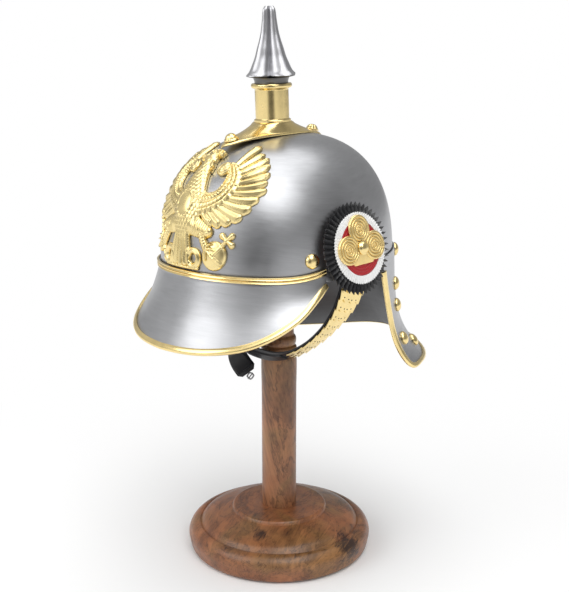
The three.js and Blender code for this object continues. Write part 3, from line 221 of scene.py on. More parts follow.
@dataclass(frozen=True)
class BrushedSteel(Finish):
    """Steel polished on a wheel that ran round the shell, so its fine lines run round it too."""

    line_pitch: float = 2600.0
    line_depth: float = 0.00003
    line_turns: float = 7.0
    broad_turns: float = 4.0
    broad_lines: float = 14.0
    line_share: float = 0.55
    # Share of the colour kept on the inner faces, which are painted darker as shade
    shaded_inside_share: float = 0.3
    inside_rough: float = 0.12
    hollow_middle: tuple = (0.0, 0.0, 0.2)

    def inside(self, tree: Tree, place: Socket) -> bpy.types.NodeSocket:
        """Tells the shell's inner faces, which are unpolished and painted darker as shade, from its outer
        ones.

        Args:
            tree: the material's tree.
            place: coordinates.

        Returns:
            1 on faces that look toward the middle of the space under the shell, 0 on the others.
        """
        away = tree.vector("SUBTRACT", place, self.hollow_middle)
        faces = tree.node("ShaderNodeNewGeometry").outputs["True Normal"]
        return tree.spread(tree.vector("DOT_PRODUCT", away, faces), -0.02, -0.005, 1.0, 0.0)

    def lines(self, tree: Tree, place: Socket, turns: float, pitch: float, detail: float,
              rough: float) -> bpy.types.NodeSocket:
        """Noise drawn out into lines that run round the shell.

        Args:
            tree: the material's tree.
            place: coordinates.
            turns: turns of noise round the shell.
            pitch: turns of noise per metre across the lines.
            detail: octaves.
            rough: strength of the finer octaves.

        Returns:
            The noise's value.
        """
        parts = tree.node("ShaderNodeSeparateXYZ", {0: place}).outputs
        flat = tree.node("ShaderNodeCombineXYZ", {"X": parts["X"], "Y": parts["Y"]}).outputs[0]
        around = tree.node("ShaderNodeSeparateXYZ", {0: tree.vector("NORMALIZE", flat)}).outputs
        along = tree.math("SUBTRACT", parts["Z"], tree.vector("LENGTH", flat))
        at = tree.node("ShaderNodeCombineXYZ", {
            "X": tree.math("MULTIPLY", around["X"], turns),
            "Y": tree.math("MULTIPLY", around["Y"], turns),
            "Z": tree.math("MULTIPLY", along, pitch),
        }).outputs[0]
        return tree.noise(at, 1.0, detail, rough)

    def fill(self, tree: Tree) -> None:
        """Writes the finish's nodes.

        Args:
            tree: the material's empty tree.
        """
        place = tree.place()
        lines = self.lines(tree, place, self.line_turns, self.line_pitch, 2.0, 0.65)
        broad = self.lines(tree, place, self.broad_turns, self.line_pitch / self.broad_lines, 3.0, 0.55)
        haze = tree.noise(place, 34.0, 3.0, 0.6)
        rough = tree.math("ADD", tree.spread(haze, 0.3, 0.7, self.roughness - 0.03, self.roughness + 0.05),
                          tree.spread(lines, 0.3, 0.7, -0.03, 0.04))
        tone = tree.ramp(tree.blend(lines, broad, self.line_share), (
            (0.3, tuple(0.8 * c for c in self.colour)),
            (0.7, self.colour),
        ))
        hand = tree.bump(broad, self.line_depth * 5, 0.35)
        # Painted shade: the inner faces keep only a share of their colour, and they are made rougher as well
        inside = self.inside(tree, place)
        kept = tree.math("SUBTRACT", 1.0, tree.math("MULTIPLY", inside, 1.0 - self.shaded_inside_share))
        tree.surface({
            "Base Color": tree.scaled(tone, kept),
            "Metallic": 1.0,
            "Roughness": tree.math("ADD", rough, tree.math("MULTIPLY", inside, self.inside_rough)),
            "Normal": tree.bump(lines, self.line_depth, 0.6, hand),
        })


@dataclass(frozen=True)
class Brass(Finish):
    """Bright pressed brass with a little wear, and painted shade in its low places."""

    wear_scale: float = 70.0
    dent_depth: float = 0.00012
    fine_depth: float = 0.00001
    # Share of the colour taken away as painted shade where the surface is concave
    hollow_shade: float = 0.35

    def fill(self, tree: Tree) -> None:
        """Writes the finish's nodes.

        Args:
            tree: the material's empty tree.
        """
        place = tree.place()
        wear = tree.noise(place, self.wear_scale, 4.0, 0.6)
        fine = tree.noise(place, self.wear_scale * 18, 2.0, 0.5)
        # Painted shade: concave places, where the pointiness is low, are darkened
        pits = tree.node("ShaderNodeNewGeometry").outputs["Pointiness"]
        hollow_shade = tree.spread(pits, 0.42, 0.5, 1.0 - self.hollow_shade, 1.0)
        worn = tree.ramp(wear, (
            (0.32, tuple(0.86 * c for c in self.colour)),
            (0.62, self.colour),
        ))
        dents = tree.bump(wear, self.dent_depth, 0.35)
        tree.surface({
            "Base Color": tree.scaled(worn, hollow_shade),
            "Metallic": 1.0,
            "Roughness": tree.spread(wear, 0.3, 0.7, self.roughness - 0.05, self.roughness + 0.08),
            "Normal": tree.bump(fine, self.fine_depth, 0.4, dents),
        })


@dataclass(frozen=True)
class Timber(Finish):
    """Turned hardwood under a satin polish: a stirred figure with dark lines, patches and knots."""

    pale: tuple = (0.29, 0.112, 0.043)
    dark: tuple = (0.036, 0.012, 0.006)
    lean: float = 0.0
    stretch: float = 0.3
    swirl: float = 1.8
    clouds: float = 0.5
    streaks: float = 0.25
    line_dark: float = 0.11
    pore_dark: float = 0.05
    knot_dark: float = 0.2
    pore_pitch: tuple = (900.0, 900.0, 90.0)
    pore_depth: float = 0.00005
    knots: tuple = ()

    def knot(self, tree: Tree, place: Socket, stir: Socket) -> Socket:
        """Soft dark patches round the middles of the knots.

        Args:
            tree: the material's tree.
            place: coordinates.
            stir: noise that makes their edges uneven.

        Returns:
            1 in the middle of a knot and 0 away from them all.
        """
        total: Socket = 0.0
        for x, y, z, radius in self.knots:
            away = tree.vector("DISTANCE", place, (x, y, z))
            uneven = tree.math("ADD", away, tree.spread(stir, 0.2, 0.8, -0.6 * radius, 0.6 * radius))
            total = tree.math("MAXIMUM", total, tree.spread(uneven, 0.3 * radius, radius, 1.0, 0.0))
        return total

    def fill(self, tree: Tree) -> None:
        """Writes the finish's nodes.

        Args:
            tree: the material's empty tree.
        """
        place = tree.place()
        turned = tree.mapped(place, Rotation=(self.lean, 0.35, 0.6))
        drawn = tree.mapped(turned, Scale=(1.0, 1.0, self.stretch))
        patches = tree.noise(turned, 24.0, 4.0, 0.6, self.swirl)
        figure = tree.noise(drawn, 48.0, 5.0, 0.62, self.swirl)
        streaks = tree.noise(drawn, 330.0, 4.0, 0.65, self.swirl * 0.6)
        middle = tree.math("ABSOLUTE", tree.math("SUBTRACT", figure, 0.5))
        pores = tree.noise(tree.mapped(turned, Scale=self.pore_pitch), 1.0, 2.0, 0.6)
        shade: Socket = 0.0
        for part, share in (
                (patches, self.clouds),
                (figure, 1.0 - self.streaks - self.clouds),
                (streaks, self.streaks),
                (tree.spread(middle, 0.0, 0.022, 1.0, 0.0), -self.line_dark),
                (tree.spread(pores, 0.55, 0.75, 0.0, 1.0), -self.pore_dark),
                (self.knot(tree, place, streaks), -self.knot_dark)):
            shade = tree.math("ADD", shade, tree.math("MULTIPLY", part, share))
        tone = tree.ramp(shade, (
            (0.3, self.dark),
            (0.42, tuple(0.5 * d + 0.5 * p for d, p in zip(self.dark, self.pale))),
            (0.54, self.pale),
            (0.68, tuple(1.5 * p for p in self.pale)),
        ))
        tint = tree.ramp(tree.noise(place, 19.0, 2.0, 0.5, 0.8), (
            (0.36, (1.0, 0.92, 0.86)),
            (0.5, (1.0, 1.0, 1.0)),
            (0.66, (0.86, 1.04, 0.92)),
        ))
        tree.surface({
            "Base Color": tree.vector("MULTIPLY", tone, tint),
            "Roughness": tree.spread(streaks, 0.3, 0.7, self.roughness - 0.06, self.roughness + 0.08),
            "Coat Weight": 0.2,
            "Coat Roughness": 0.25,
            "Normal": tree.bump(pores, self.pore_depth, 0.5),
        })


@dataclass(frozen=True)
class Grained(Finish):
    """Leather, cloth or paint: a plain colour over a fine grain."""

    grain_scale: float = 900.0
    grain_depth: float = 0.00008
    sheen: float = 0.0

    def fill(self, tree: Tree) -> None:
        """Writes the finish's nodes.

        Args:
            tree: the material's empty tree.
        """
        place = tree.place()
        grain = tree.noise(place, self.grain_scale, 3.0, 0.6)
        cloud = tree.noise(place, 60.0, 3.0, 0.6)
        tone = tree.ramp(tree.blend(grain, cloud, 0.5), (
            (0.3, tuple(0.72 * c for c in self.colour)),
            (0.7, self.colour),
        ))
        tree.surface({
            "Base Color": tone,
            "Roughness": tree.spread(cloud, 0.3, 0.7, self.roughness - 0.05, self.roughness + 0.07),
            "Sheen Weight": self.sheen,
            "Normal": tree.bump(grain, self.grain_depth, 0.6),
        })


SHELL_STEEL = BrushedSteel("shell_steel", Slot.STEEL, (0.5, 0.505, 0.52), 0.34)
SPIKE_STEEL = BrushedSteel("spike_steel", Slot.STEEL, (0.56, 0.56, 0.58), 0.33, line_pitch=1500.0)
PALE_BRASS = Brass("pale_brass", Slot.BRASS, (1.0, 0.79, 0.37), 0.2)
RELIEF_BRASS = Brass("relief_brass", Slot.BRASS, (1.0, 0.81, 0.39), 0.27, hollow_shade=0.55)
CORD_BRASS = Brass("cord_brass", Slot.BRASS, (1.0, 0.77, 0.34), 0.38, wear_scale=160.0, hollow_shade=0.4)
DULL_METAL = Brass("dull_metal", Slot.DARK, (0.06, 0.055, 0.05), 0.42)
NECK_METAL = Brass("neck_metal", Slot.DARK, (0.17, 0.167, 0.165), 0.3)
STAND_WOOD = Timber("stand_wood", Slot.WOOD, roughness=0.4, lean=1.3, knots=(
    (0.084, 0.01, 0.022, 0.017), (0.03, -0.052, 0.036, 0.008), (-0.05, 0.06, 0.034, 0.012),
))
POST_WOOD = Timber("post_wood", Slot.WOOD, roughness=0.42, pale=(0.31, 0.135, 0.058), stretch=0.09, swirl=0.7,
                   clouds=0.2)
BLACK_LEATHER = Grained("black_leather_finish", Slot.LEATHER, (0.014, 0.014, 0.017), 0.38)
BLACK_CLOTH = Grained("black_cloth_finish", Slot.CLOTH, (0.016, 0.016, 0.018), 0.32, 2400.0, 0.00006, 0.1)
WHITE_METAL = Grained("white_paint_finish", Slot.WHITE, (0.95, 0.95, 0.94), 0.4, 1200.0, 0.00004)
RED_METAL = Grained("red_paint_finish", Slot.RED, (0.46, 0.016, 0.022), 0.45, 1200.0, 0.00004)


# Meshes


def unit(v: np.ndarray) -> np.ndarray:
    """Vectors of length one, along the last axis."""
    return v / np.maximum(np.linalg.norm(v, axis=-1, keepdims=True), 1e-12)


def polar(radius: np.ndarray, angle: np.ndarray, height: np.ndarray) -> np.ndarray:
    """Points from radii, angles about Z and heights."""
    return np.stack([radius * np.cos(angle), radius * np.sin(angle), height], axis=-1)


def circle(radius: float, sides: int) -> np.ndarray:
    """Corners of a round section."""
    angle = np.linspace(0, TURN, sides, endpoint=False)
    return polar(radius, angle, 0 * angle)[:, :2]


def soft_line(distance: np.ndarray, width: float) -> np.ndarray:
    """A soft ridge, 1 where the distance is 0 and fading over a width."""
    return np.exp(-(distance / width) ** 2)


def spun(points: np.ndarray, degrees: float) -> np.ndarray:
    """Points turned about Z."""
    c, s = math.cos(math.radians(degrees)), math.sin(math.radians(degrees))
    return points @ np.array([[c, -s, 0], [s, c, 0], [0, 0, 1]]).T


def sharpened(value: np.ndarray, power: float) -> np.ndarray:
    """A power that keeps the value's sign."""
    return np.sign(value) * np.abs(value) ** power


def zigzag(count: int, per: int) -> np.ndarray:
    """A column that rises from 0 to 1 and falls again in every lot of points."""
    return 1 - np.abs(np.mod(np.arange(count) / per, 1)[:, None] * 2 - 1)


def grid_quads(n: int, m: int, around: bool = False) -> np.ndarray:
    """Quads over a grid of points.

    Args:
        n: rows of points.
        m: points in a row.
        around: joins the last row to the first.

    Returns:
        Rows of four point numbers.
    """
    i, j = np.meshgrid(np.arange(n if around else n - 1), np.arange(m - 1), indexing="ij")
    k = (i + 1) % n
    return np.stack([i * m + j, k * m + j, k * m + j + 1, i * m + j + 1], axis=-1).reshape(-1, 4)


class Body:
    """Points in millimetres and faces, gathered until they become one mesh."""

    def __init__(self) -> None:
        """Starts with nothing."""
        self.points: list = []
        self.faces: list = []
        self.count = 0

    def add(self, points: np.ndarray, faces: Sequence) -> "Body":
        """Adds a lot of points and their faces.

        Args:
            points: an array whose last axis is x, y, z.
            faces: rows of point numbers within this lot.

        Returns:
            The body itself.
        """
        flat = np.asarray(points, float).reshape(-1, 3)
        self.points.append(flat)
        self.faces.extend([[int(k) + self.count for k in face] for face in faces])
        self.count += len(flat)
        return self

    def join(self, other: "Body") -> "Body":
        """Adds all of another body."""
        return self.add(np.concatenate(other.points), other.faces)

    def sheet(self, outer: np.ndarray, inner: np.ndarray, around: bool = False) -> "Body":
        """Adds the solid between two grids of points.

        Args:
            outer: grid of n by m points.
            inner: the matching grid.
            around: joins the last row to the first.

        Returns:
            The body itself.
        """
        n, m = outer.shape[:2]
        size = n * m
        faces = [tuple(q) for q in grid_quads(n, m, around)]
        faces += [tuple(q[::-1] + size) for q in grid_quads(n, m, around)]
        rows = range(n if around else n - 1)
        for i in rows:
            k = (i + 1) % n
            for j, turn in ((0, 1), (m - 1, -1)):
                rim = (i * m + j, i * m + j + size, k * m + j + size, k * m + j)
                faces.append(rim[::turn])
        if not around:
            for i, turn in ((0, -1), (n - 1, 1)):
                for j in range(m - 1):
                    rim = (i * m + j, i * m + j + size, i * m + j + 1 + size, i * m + j + 1)
                    faces.append(rim[::turn])
        return self.add(np.concatenate([outer.reshape(-1, 3), inner.reshape(-1, 3)]), faces)

    def sweep(self, rings: np.ndarray, closed: bool = False) -> "Body":
        """Adds a solid through rings of points.

        Args:
            rings: an array of n rings by k points.
            closed: joins the last ring to the first instead of capping both.

        Returns:
            The body itself.
        """
        n, k = rings.shape[:2]
        faces = []
        for q in grid_quads(n, k + 1, closed):
            faces.append([(v // (k + 1)) * k + (v % (k + 1)) % k for v in q])
        if not closed:
            faces.append(list(range(k)))
            faces.append(list(range((n - 1) * k, n * k))[::-1])
        return self.add(rings, faces)

    def turned(self, rows: Sequence, sides: int, shrink: Optional[Callable] = None) -> "Body":
        """Adds a form turned about its own Z.

        Args:
            rows: rows of radius and height, from axis to axis, or closed on itself.
            sides: number of sides.
            shrink: share of the radius taken away, from angles and heights.

        Returns:
            The body itself.
        """
        rows = np.asarray(rows, float)
        angle = np.arange(sides) / sides * TURN
        radius = np.broadcast_to(rows[:, 0], (sides, len(rows)))
        height = np.broadcast_to(rows[:, 1], (sides, len(rows)))
        if shrink is not None:
            radius = radius * (1 - shrink(angle[:, None], height))
        return self.add(polar(radius, angle[:, None], height), grid_quads(sides, len(rows), True))

    def stood(self, at: np.ndarray, direction: np.ndarray) -> "Body":
        """Puts a body drawn about Z at a place, with its Z along a direction."""
        return self.moved(lambda points: stood(points, at, direction))

    def moved(self, change: Callable) -> "Body":
        """Passes every point through a function."""
        self.points = [change(np.concatenate(self.points))]
        return self

    def piece(self, name: str, finish: Finish, nodes: Sequence[str] = (),
              crease: float = 40.0) -> bpy.types.Object:
        """Makes the mesh object and gives it to the frame.

        Args:
            name: the piece's name.
            finish: its finish.
            nodes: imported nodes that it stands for.
            crease: angle in degrees over which an edge stays sharp.

        Returns:
            The object, riding on the frame's only body.
        """
        points = np.concatenate(self.points) * MM
        mesh = bpy.data.meshes.new(name)
        mesh.from_pydata(points.tolist(), [], self.faces)
        work = bmesh.new()
        work.from_mesh(mesh)
        bmesh.ops.remove_doubles(work, verts=work.verts, dist=1e-6)
        bmesh.ops.recalc_face_normals(work, faces=work.faces)
        work.to_mesh(mesh)
        work.free()
        mesh.shade_smooth()
        mesh.set_sharp_from_angle(angle=math.radians(crease))
        mesh.materials.append(finish.material())
        made = bpy.data.objects.new(name, mesh)
        bpy.context.scene.collection.objects.link(made)
        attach(made, "root")
        if nodes:
            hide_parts(*nodes)
        LOG.info("%s: %d faces", name, len(mesh.polygons))
        return made

    def worn(self, name: str, finish: Finish, *nodes: str, crease: float = 40.0) -> bpy.types.Object:
        """Makes the piece of a body that is drawn in the helmet's own frame."""
        return self.moved(PLACE.world).piece(name, finish, nodes, crease)


def round_line(points: Sequence, steps: int, sharp: Sequence[int] = ()) -> np.ndarray:
    """A smooth line through points, with some corners kept sharp.

    Args:
        points: rows of coordinates.
        steps: stretches between one point and the next.
        sharp: numbers of the points at which the line may turn a corner.

    Returns:
        The points of the line.
    """
    rows = np.asarray(points, float)
    cuts = sorted({0, len(rows) - 1, *sharp})
    out = [rows[:1]]
    for start, end in zip(cuts[:-1], cuts[1:]):
        part = rows[start:end + 1]
        if len(part) == 2:
            out.append(part[1:])
            continue
        places = np.linspace(0, len(part) - 1, (len(part) - 1) * steps + 1)
        out.append(through(part, places)[1:])
    return np.concatenate(out)


def through(points: np.ndarray, places: np.ndarray) -> np.ndarray:
    """A centripetal spline through points.

    Args:
        points: rows of coordinates.
        places: where to read it, from 0 to the number of stretches.

    Returns:
        One row for each place.
    """
    rows = np.concatenate([2 * points[:1] - points[1:2], points, 2 * points[-1:] - points[-2:-1]])
    step = np.maximum(np.linalg.norm(np.diff(rows, axis=0), axis=1) ** 0.5, 1e-4)
    i = np.minimum(np.floor(places).astype(int), len(points) - 2)
    t = (places - i)[:, None]
    a, b, c, d = rows[i], rows[i + 1], rows[i + 2], rows[i + 3]
    d0, d1, d2 = step[i][:, None], step[i + 1][:, None], step[i + 2][:, None]
    m1 = ((b - a) / d0 - (c - a) / (d0 + d1) + (c - b) / d1) * d1
    m2 = ((c - b) / d1 - (d - b) / (d1 + d2) + (d - c) / d2) * d1
    return b + m1 * t + (-3 * b + 3 * c - 2 * m1 - m2) * t ** 2 + (2 * b - 2 * c + m1 + m2) * t ** 3


def read_table(rows: Sequence, at: np.ndarray) -> np.ndarray:
    """Smooth values of a table between its rows.

    Args:
        rows: rows whose first column is the place and the others are values.
        at: places to read.

    Returns:
        The values, one row for each place.
    """
    table = np.asarray(rows, float)
    key, values = table[:, 0], table[:, 1:]
    i = np.clip(np.searchsorted(key, at) - 1, 0, len(key) - 2)
    before, after = np.maximum(i - 1, 0), np.minimum(i + 2, len(key) - 1)
    span = (key[i + 1] - key[i])[:, None]
    t = ((at - key[i]) / (key[i + 1] - key[i]))[:, None]
    rise = (values[i + 1] - values[before]) / (key[i + 1] - key[before])[:, None] * span
    fall = (values[after] - values[i]) / (key[after] - key[i])[:, None] * span
    return ((2 * t ** 3 - 3 * t ** 2 + 1) * values[i] + (t ** 3 - 2 * t ** 2 + t) * rise
            + (3 * t ** 2 - 2 * t ** 3) * values[i + 1] + (t ** 3 - t ** 2) * fall)


# The helmet's form


@dataclass(frozen=True)
class Place:
    """Where the helmet sits on the stand."""

    tilt: float = 2.3
    at: tuple = (-1.0, -1.5, 288.5)

    def world(self, points: np.ndarray) -> np.ndarray:
        """Takes points from the helmet's frame to the model's."""
        c, s = math.cos(math.radians(self.tilt)), math.sin(math.radians(self.tilt))
        turn = np.array([[1, 0, 0], [0, c, -s], [0, s, c]])
        return points @ turn.T + np.array(self.at)


@dataclass(frozen=True)
class Dome:
    """The shell's rounded form, measured at its outer face."""

    half_width: float = 97.3
    front: float = 112.5
    rear: float = 119.0
    height: float = 118.5
    wall: float = 1.2
    plan_power: float = 2.05
    front_power: float = 2.38
    rear_power: float = 2.62

    def power(self, theta: np.ndarray) -> np.ndarray:
        """Power of the meridian at an angle from the front."""
        return self.front_power + (self.rear_power - self.front_power) * (1 - np.cos(theta)) / 2

    def point(self, theta: np.ndarray, phi: np.ndarray, over: float = 0.0) -> np.ndarray:
        """Points of the shell.

        Args:
            theta: angles from the front to the wearer's left.
            phi: angles from the brow to the crown.
            over: distance outside the shell.

        Returns:
            An array of points.
        """
        theta, phi = np.broadcast_arrays(np.asarray(theta, float), np.asarray(phi, float))
        power = self.power(theta)
        across = sharpened(np.sin(theta), 2 / self.plan_power)
        along = sharpened(np.cos(theta), 2 / self.plan_power)
        reach = np.abs(np.cos(phi)) ** (2 / power)
        rise = np.abs(np.sin(phi)) ** (2 / power)
        length = np.where(np.cos(theta) > 0, self.front, self.rear)
        return np.stack([
            (self.half_width + over) * across * reach,
            -(length + over) * along * reach,
            (self.height + over) * rise,
        ], axis=-1)

    def height_at(self, x: np.ndarray, y: np.ndarray) -> np.ndarray:
        """Height of the shell over places in plan.

        Args:
            x: distances toward the wearer's left.
            y: distances toward the rear.

        Returns:
            The heights over the brow.
        """
        length = np.where(y < 0, self.front, self.rear)
        theta = np.arctan2(x / self.half_width, -y / length)
        reach = np.abs(x / self.half_width) ** self.plan_power + np.abs(y / length) ** self.plan_power
        power = self.power(theta)
        left = np.maximum(1 - np.minimum(reach, 1) ** (power / self.plan_power), 0)
        return self.height * left ** (1 / power)

    def normal(self, theta: float, phi: float) -> np.ndarray:
        """Outward normal at a point of the shell.

        Args:
            theta: angle from the front to the wearer's left.
            phi: angle from the brow to the crown.

        Returns:
            The unit normal.
        """
        step = 1e-3
        around = self.point(theta + step, phi) - self.point(theta - step, phi)
        up = self.point(theta, phi + step) - self.point(theta, phi - step)
        found = unit(np.cross(around, up))
        return found if float(found @ self.point(theta, phi)) > 0 else -found

    def phi_at(self, theta: float, height: float) -> float:
        """Meridian angle of a height over the brow."""
        return math.asin((height / self.height) ** (float(self.power(np.float64(theta))) / 2))


DOME = Dome()
PLACE = Place()
GAP = 0.35


def grid_normals(grid: np.ndarray) -> np.ndarray:
    """Unit normals of a grid of points, pointing away from the axis."""
    normal = unit(np.cross(np.gradient(grid, axis=0), np.gradient(grid, axis=1)))
    away = (normal[..., :2] * grid[..., :2]).sum(-1)
    return np.where(away[..., None] < 0, -normal, normal)


def rim_frames(inner: np.ndarray, outer: np.ndarray, normals: np.ndarray) -> tuple:
    """Frames along the last points of a sheet's rows.

    Args:
        inner: grid of the inner face.
        outer: grid of the outer face.
        normals: the sheet's normals.

    Returns:
        Middle points, directions through the wall and directions out of the rim.
    """
    middle = (inner[:, -1] + outer[:, -1]) / 2
    tangent = unit(np.gradient(middle, axis=0))
    through_wall = normals[:, -1]
    out = unit(np.cross(tangent, through_wall))
    down = inner[:, -1] - inner[:, -2]
    out = np.where((out * down).sum(-1)[:, None] < 0, -out, out)
    return middle, through_wall, out


def in_frames(frames: tuple, sections: np.ndarray) -> np.ndarray:
    """Rings of points from sections drawn in frames.

    Args:
        frames: points and two directions.
        sections: one section of (first, second) distances for each frame, or one for all.

    Returns:
        An array of rings by points.
    """
    at, a, b = frames
    sections = np.broadcast_to(sections, (len(at), *np.shape(sections)[-2:]))
    return at[:, None] + a[:, None] * sections[..., :1] + b[:, None] * sections[..., 1:]


def dome_head(radius: float, height: float, foot: float = 0.0, steps: int = 8) -> np.ndarray:
    """Rows of radius and height of a domed head.

    Args:
        radius: of the head.
        height: of the dome.
        foot: height of its underside.
        steps: rows over the dome.

    Returns:
        The rows, from axis to axis.
    """
    first = 0.16
    angle = np.linspace(first, math.pi / 2, steps)
    rise = (np.sin(angle) - math.sin(first)) / (1 - math.sin(first))
    out, up = radius * np.cos(angle) / math.cos(first), height * (first + (1 - first) * rise)
    return np.concatenate([[[0, foot], [radius * 0.98, foot]], np.stack([out, foot + up], axis=-1)])


def stood(points: np.ndarray, at: np.ndarray, direction: np.ndarray) -> np.ndarray:
    """Points drawn about Z, put at a place with their Z along a direction."""
    turn = Vector((0, 0, 1)).rotation_difference(Vector(direction)).to_matrix()
    return points @ np.array(turn).T + np.asarray(at)


@dataclass(frozen=True)
class Shell:
    """The steel skull, the visor and the neck guard, with the brass on their edges."""

    visor_spread: float = 74.0
    visor_flare: float = 26.5
    visor_drop: float = 51.5
    visor_straight: float = 0.66
    visor_tuck: float = 1.5
    visor_wall: float = 1.2
    band_end: float = 3.5
    band_rise: float = 7.0
    band_end_lift: float = 6.0
    band_width: float = 5.8
    band_groove: float = 0.12
    guard_wall: float = 1.2
    guard_standoff: float = 0.7
    guard_side: float = 112.0
    guard_top: float = 8.0
    guard_depth: float = 105.0
    guard_side_flare: float = 20.0
    guard_back_flare: float = 43.0
    guard_flare_power: float = 3.2
    edge_half: float = 2.3
    edge_lip: float = 3.4
    edge_slim_nose: float = 1.1
    edge_play: float = 0.12
    edge_sheet: float = 0.18
    rivet_radius: float = 6.6
    rivet_height: float = 4.4

    def build(self) -> None:
        """Makes every piece of the shell."""
        self.skull()
        self.visor()
        self.band()
        self.guard()
        for side in Side:
            self.rivets(side)

    def skull(self) -> None:
        """The domed skull, open underneath."""
        around, rows = 160, 56
        theta = np.arange(around)[:, None] / around * TURN
        phi = np.linspace(0, math.pi / 2, rows)[None]
        body = Body().sheet(DOME.point(theta, phi), DOME.point(theta, phi, -DOME.wall), True)
        body.worn("shell_skull", SHELL_STEEL, "skull", crease=50)

    def band_height(self, theta: np.ndarray) -> np.ndarray:
        """Height of the middle of the brow band at an angle; it turns up at its two ends."""
        along = np.abs(theta) / math.radians(self.visor_spread)
        return self.band_end + self.band_rise * np.cos(theta) ** 2 + self.band_end_lift * along ** 8

    def visor_angles(self, steps: int = 120) -> np.ndarray:
        """Angles of the visor's rows, from the wearer's right to the left."""
        return np.linspace(-1, 1, steps + 1) * math.radians(self.visor_spread)

    def visor_faces(self) -> tuple:
        """Grids of the visor.

        Returns:
            Inner face, outer face and normals.
        """
        theta = self.visor_angles()
        # Share of the way to the visor's end, and shares of its flare and drop there
        share = read_table((
            (0, 1, 1),
            (0.3, 1, 0.962),
            (0.55, 0.906, 0.835),
            (0.78, 0.604, 0.524),
            (0.92, 0.264, 0.233),
            (1, 0.038, 0.058),
        ), np.abs(theta) / math.radians(self.visor_spread))
        flare, drop = self.visor_flare * share[:, 0], self.visor_drop * share[:, 1]
        foot = DOME.point(theta, 0.0, GAP)
        joint = self.band_height(theta)
        bend = joint - self.band_width / 2 - 0.3
        columns = [np.stack([foot[:, 0], foot[:, 1], joint + self.visor_tuck], axis=-1)]
        for t in np.linspace(0, 1, 25):
            out = flare * (self.visor_straight * t + (1 - self.visor_straight) * t ** 3)
            columns.append(np.stack([
                foot[:, 0] + np.sin(theta) * out,
                foot[:, 1] - np.cos(theta) * out,
                bend * (1 - t) - drop * t,
            ], axis=-1))
        inner = np.stack(columns, axis=1)
        normals = grid_normals(inner)
        return inner, inner + normals * self.visor_wall, normals

    def visor(self) -> None:
        """The visor and its brass binding."""
        inner, outer, normals = self.visor_faces()
        Body().sheet(outer, inner).worn("front_visor", SHELL_STEEL, "visor", crease=60)
        to_end = np.abs(np.linspace(-1, 1, len(inner)))
        full = 1 - np.clip((to_end - 0.9) / 0.06, 0, 1)
        self.binding("front_visor_binding", (inner, outer, normals), full, self.edge_half, "visor_binding")

    def binding(self, name: str, faces: tuple, full: np.ndarray, least_nose: float, node: str) -> None:
        """Folded brass strip over a rim.

        Args:
            name: the piece's name.
            faces: the sheet's inner grid, outer grid and normals.
            full: 1 where the strip is as thick inside as outside, 0 where it is slim inside.
            least_nose: how far it stands out of the rim where it is slim inside.
            node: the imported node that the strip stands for.
        """
        inner = faces[0]
        slot = self.visor_wall / 2 + self.edge_play
        slim = slot + self.edge_sheet
        fall = np.linalg.norm(inner[:, -1] - inner[:, 1], axis=-1)
        half = self.edge_half
        sections = []
        for lip, share in zip(np.minimum(self.edge_lip, fall * 0.6), full):
            near = slim + (half - slim) * share
            out = least_nose + (half - least_nose) * share
            back = lip * (0.2 + 0.8 * share)
            nose = [((half if a < math.pi / 2 else near) * math.cos(a), out * math.sin(a))
                    for a in np.linspace(math.pi - 0.25, 0.25, 9)]
            sections.append([
                (-slot, -back), (-near * 0.85 - slot * 0.1, -back), (-near, -back * 0.6), *nose,
                (half, -lip * 0.6), (half * 0.8, -lip), (slot, -lip), (slot, 0.2), (-slot, 0.2)])
        rings = in_frames(rim_frames(*faces), np.array(sections))
        Body().sweep(rings).worn(name, PALE_BRASS, node, crease=50)

    def band(self) -> None:
        """The brass band with two ridges over the visor's joint."""
        over = GAP + self.visor_wall + 0.1
        theta = self.visor_angles()
        foot = DOME.point(theta, 0.0, over)
        at = np.stack([foot[:, 0], foot[:, 1], self.band_height(theta)], axis=-1)
        out = np.stack([np.sin(theta), -np.cos(theta), 0 * theta], axis=-1)
        up = np.broadcast_to([0.0, 0.0, 1.0], out.shape)
        half = self.band_width / 2
        across = np.linspace(-1, 1, 17)
        groove = np.abs(across) <= self.band_groove
        proud = 1.15 + 0.65 * np.abs(np.cos(across * math.pi)) * ~groove - 0.25 * groove
        proud[[0, -1]] = 0.5
        section = np.array([(0, -half), *zip(proud, across * half), (0, half)])
        Body().sweep(in_frames((at, out, up), section)).worn("brow_band", PALE_BRASS, "front_band", crease=60)

    def guard_point(self, angle: np.ndarray, drop: np.ndarray, over: float = 0.0) -> np.ndarray:
        """Points of the neck guard's inner face.

        Args:
            angle: degrees from the front.
            drop: distance below the brow.
            over: distance further out.

        Returns:
            An array of points.
        """
        angle, drop = np.broadcast_arrays(np.asarray(angle, float), np.asarray(drop, float))
        foot = DOME.point(np.radians(angle), 0.0, self.guard_standoff + over)
        heading = np.arctan2(foot[..., 0], -foot[..., 1])
        to_back = 1 - np.abs(angle - 180) / (180 - self.guard_side)
        flare = self.guard_side_flare + (self.guard_back_flare - self.guard_side_flare) * to_back
        out = flare * (np.maximum(drop, 0) / self.guard_depth) ** self.guard_flare_power
        x, y = foot[..., 0] + np.sin(heading) * out, foot[..., 1] - np.cos(heading) * out
        return np.stack([x, y, -drop], axis=-1)

    def guard_faces(self) -> tuple:
        """Grids of the neck guard.

        Returns:
            Inner face, outer face and normals.
        """
        degree = 1.9
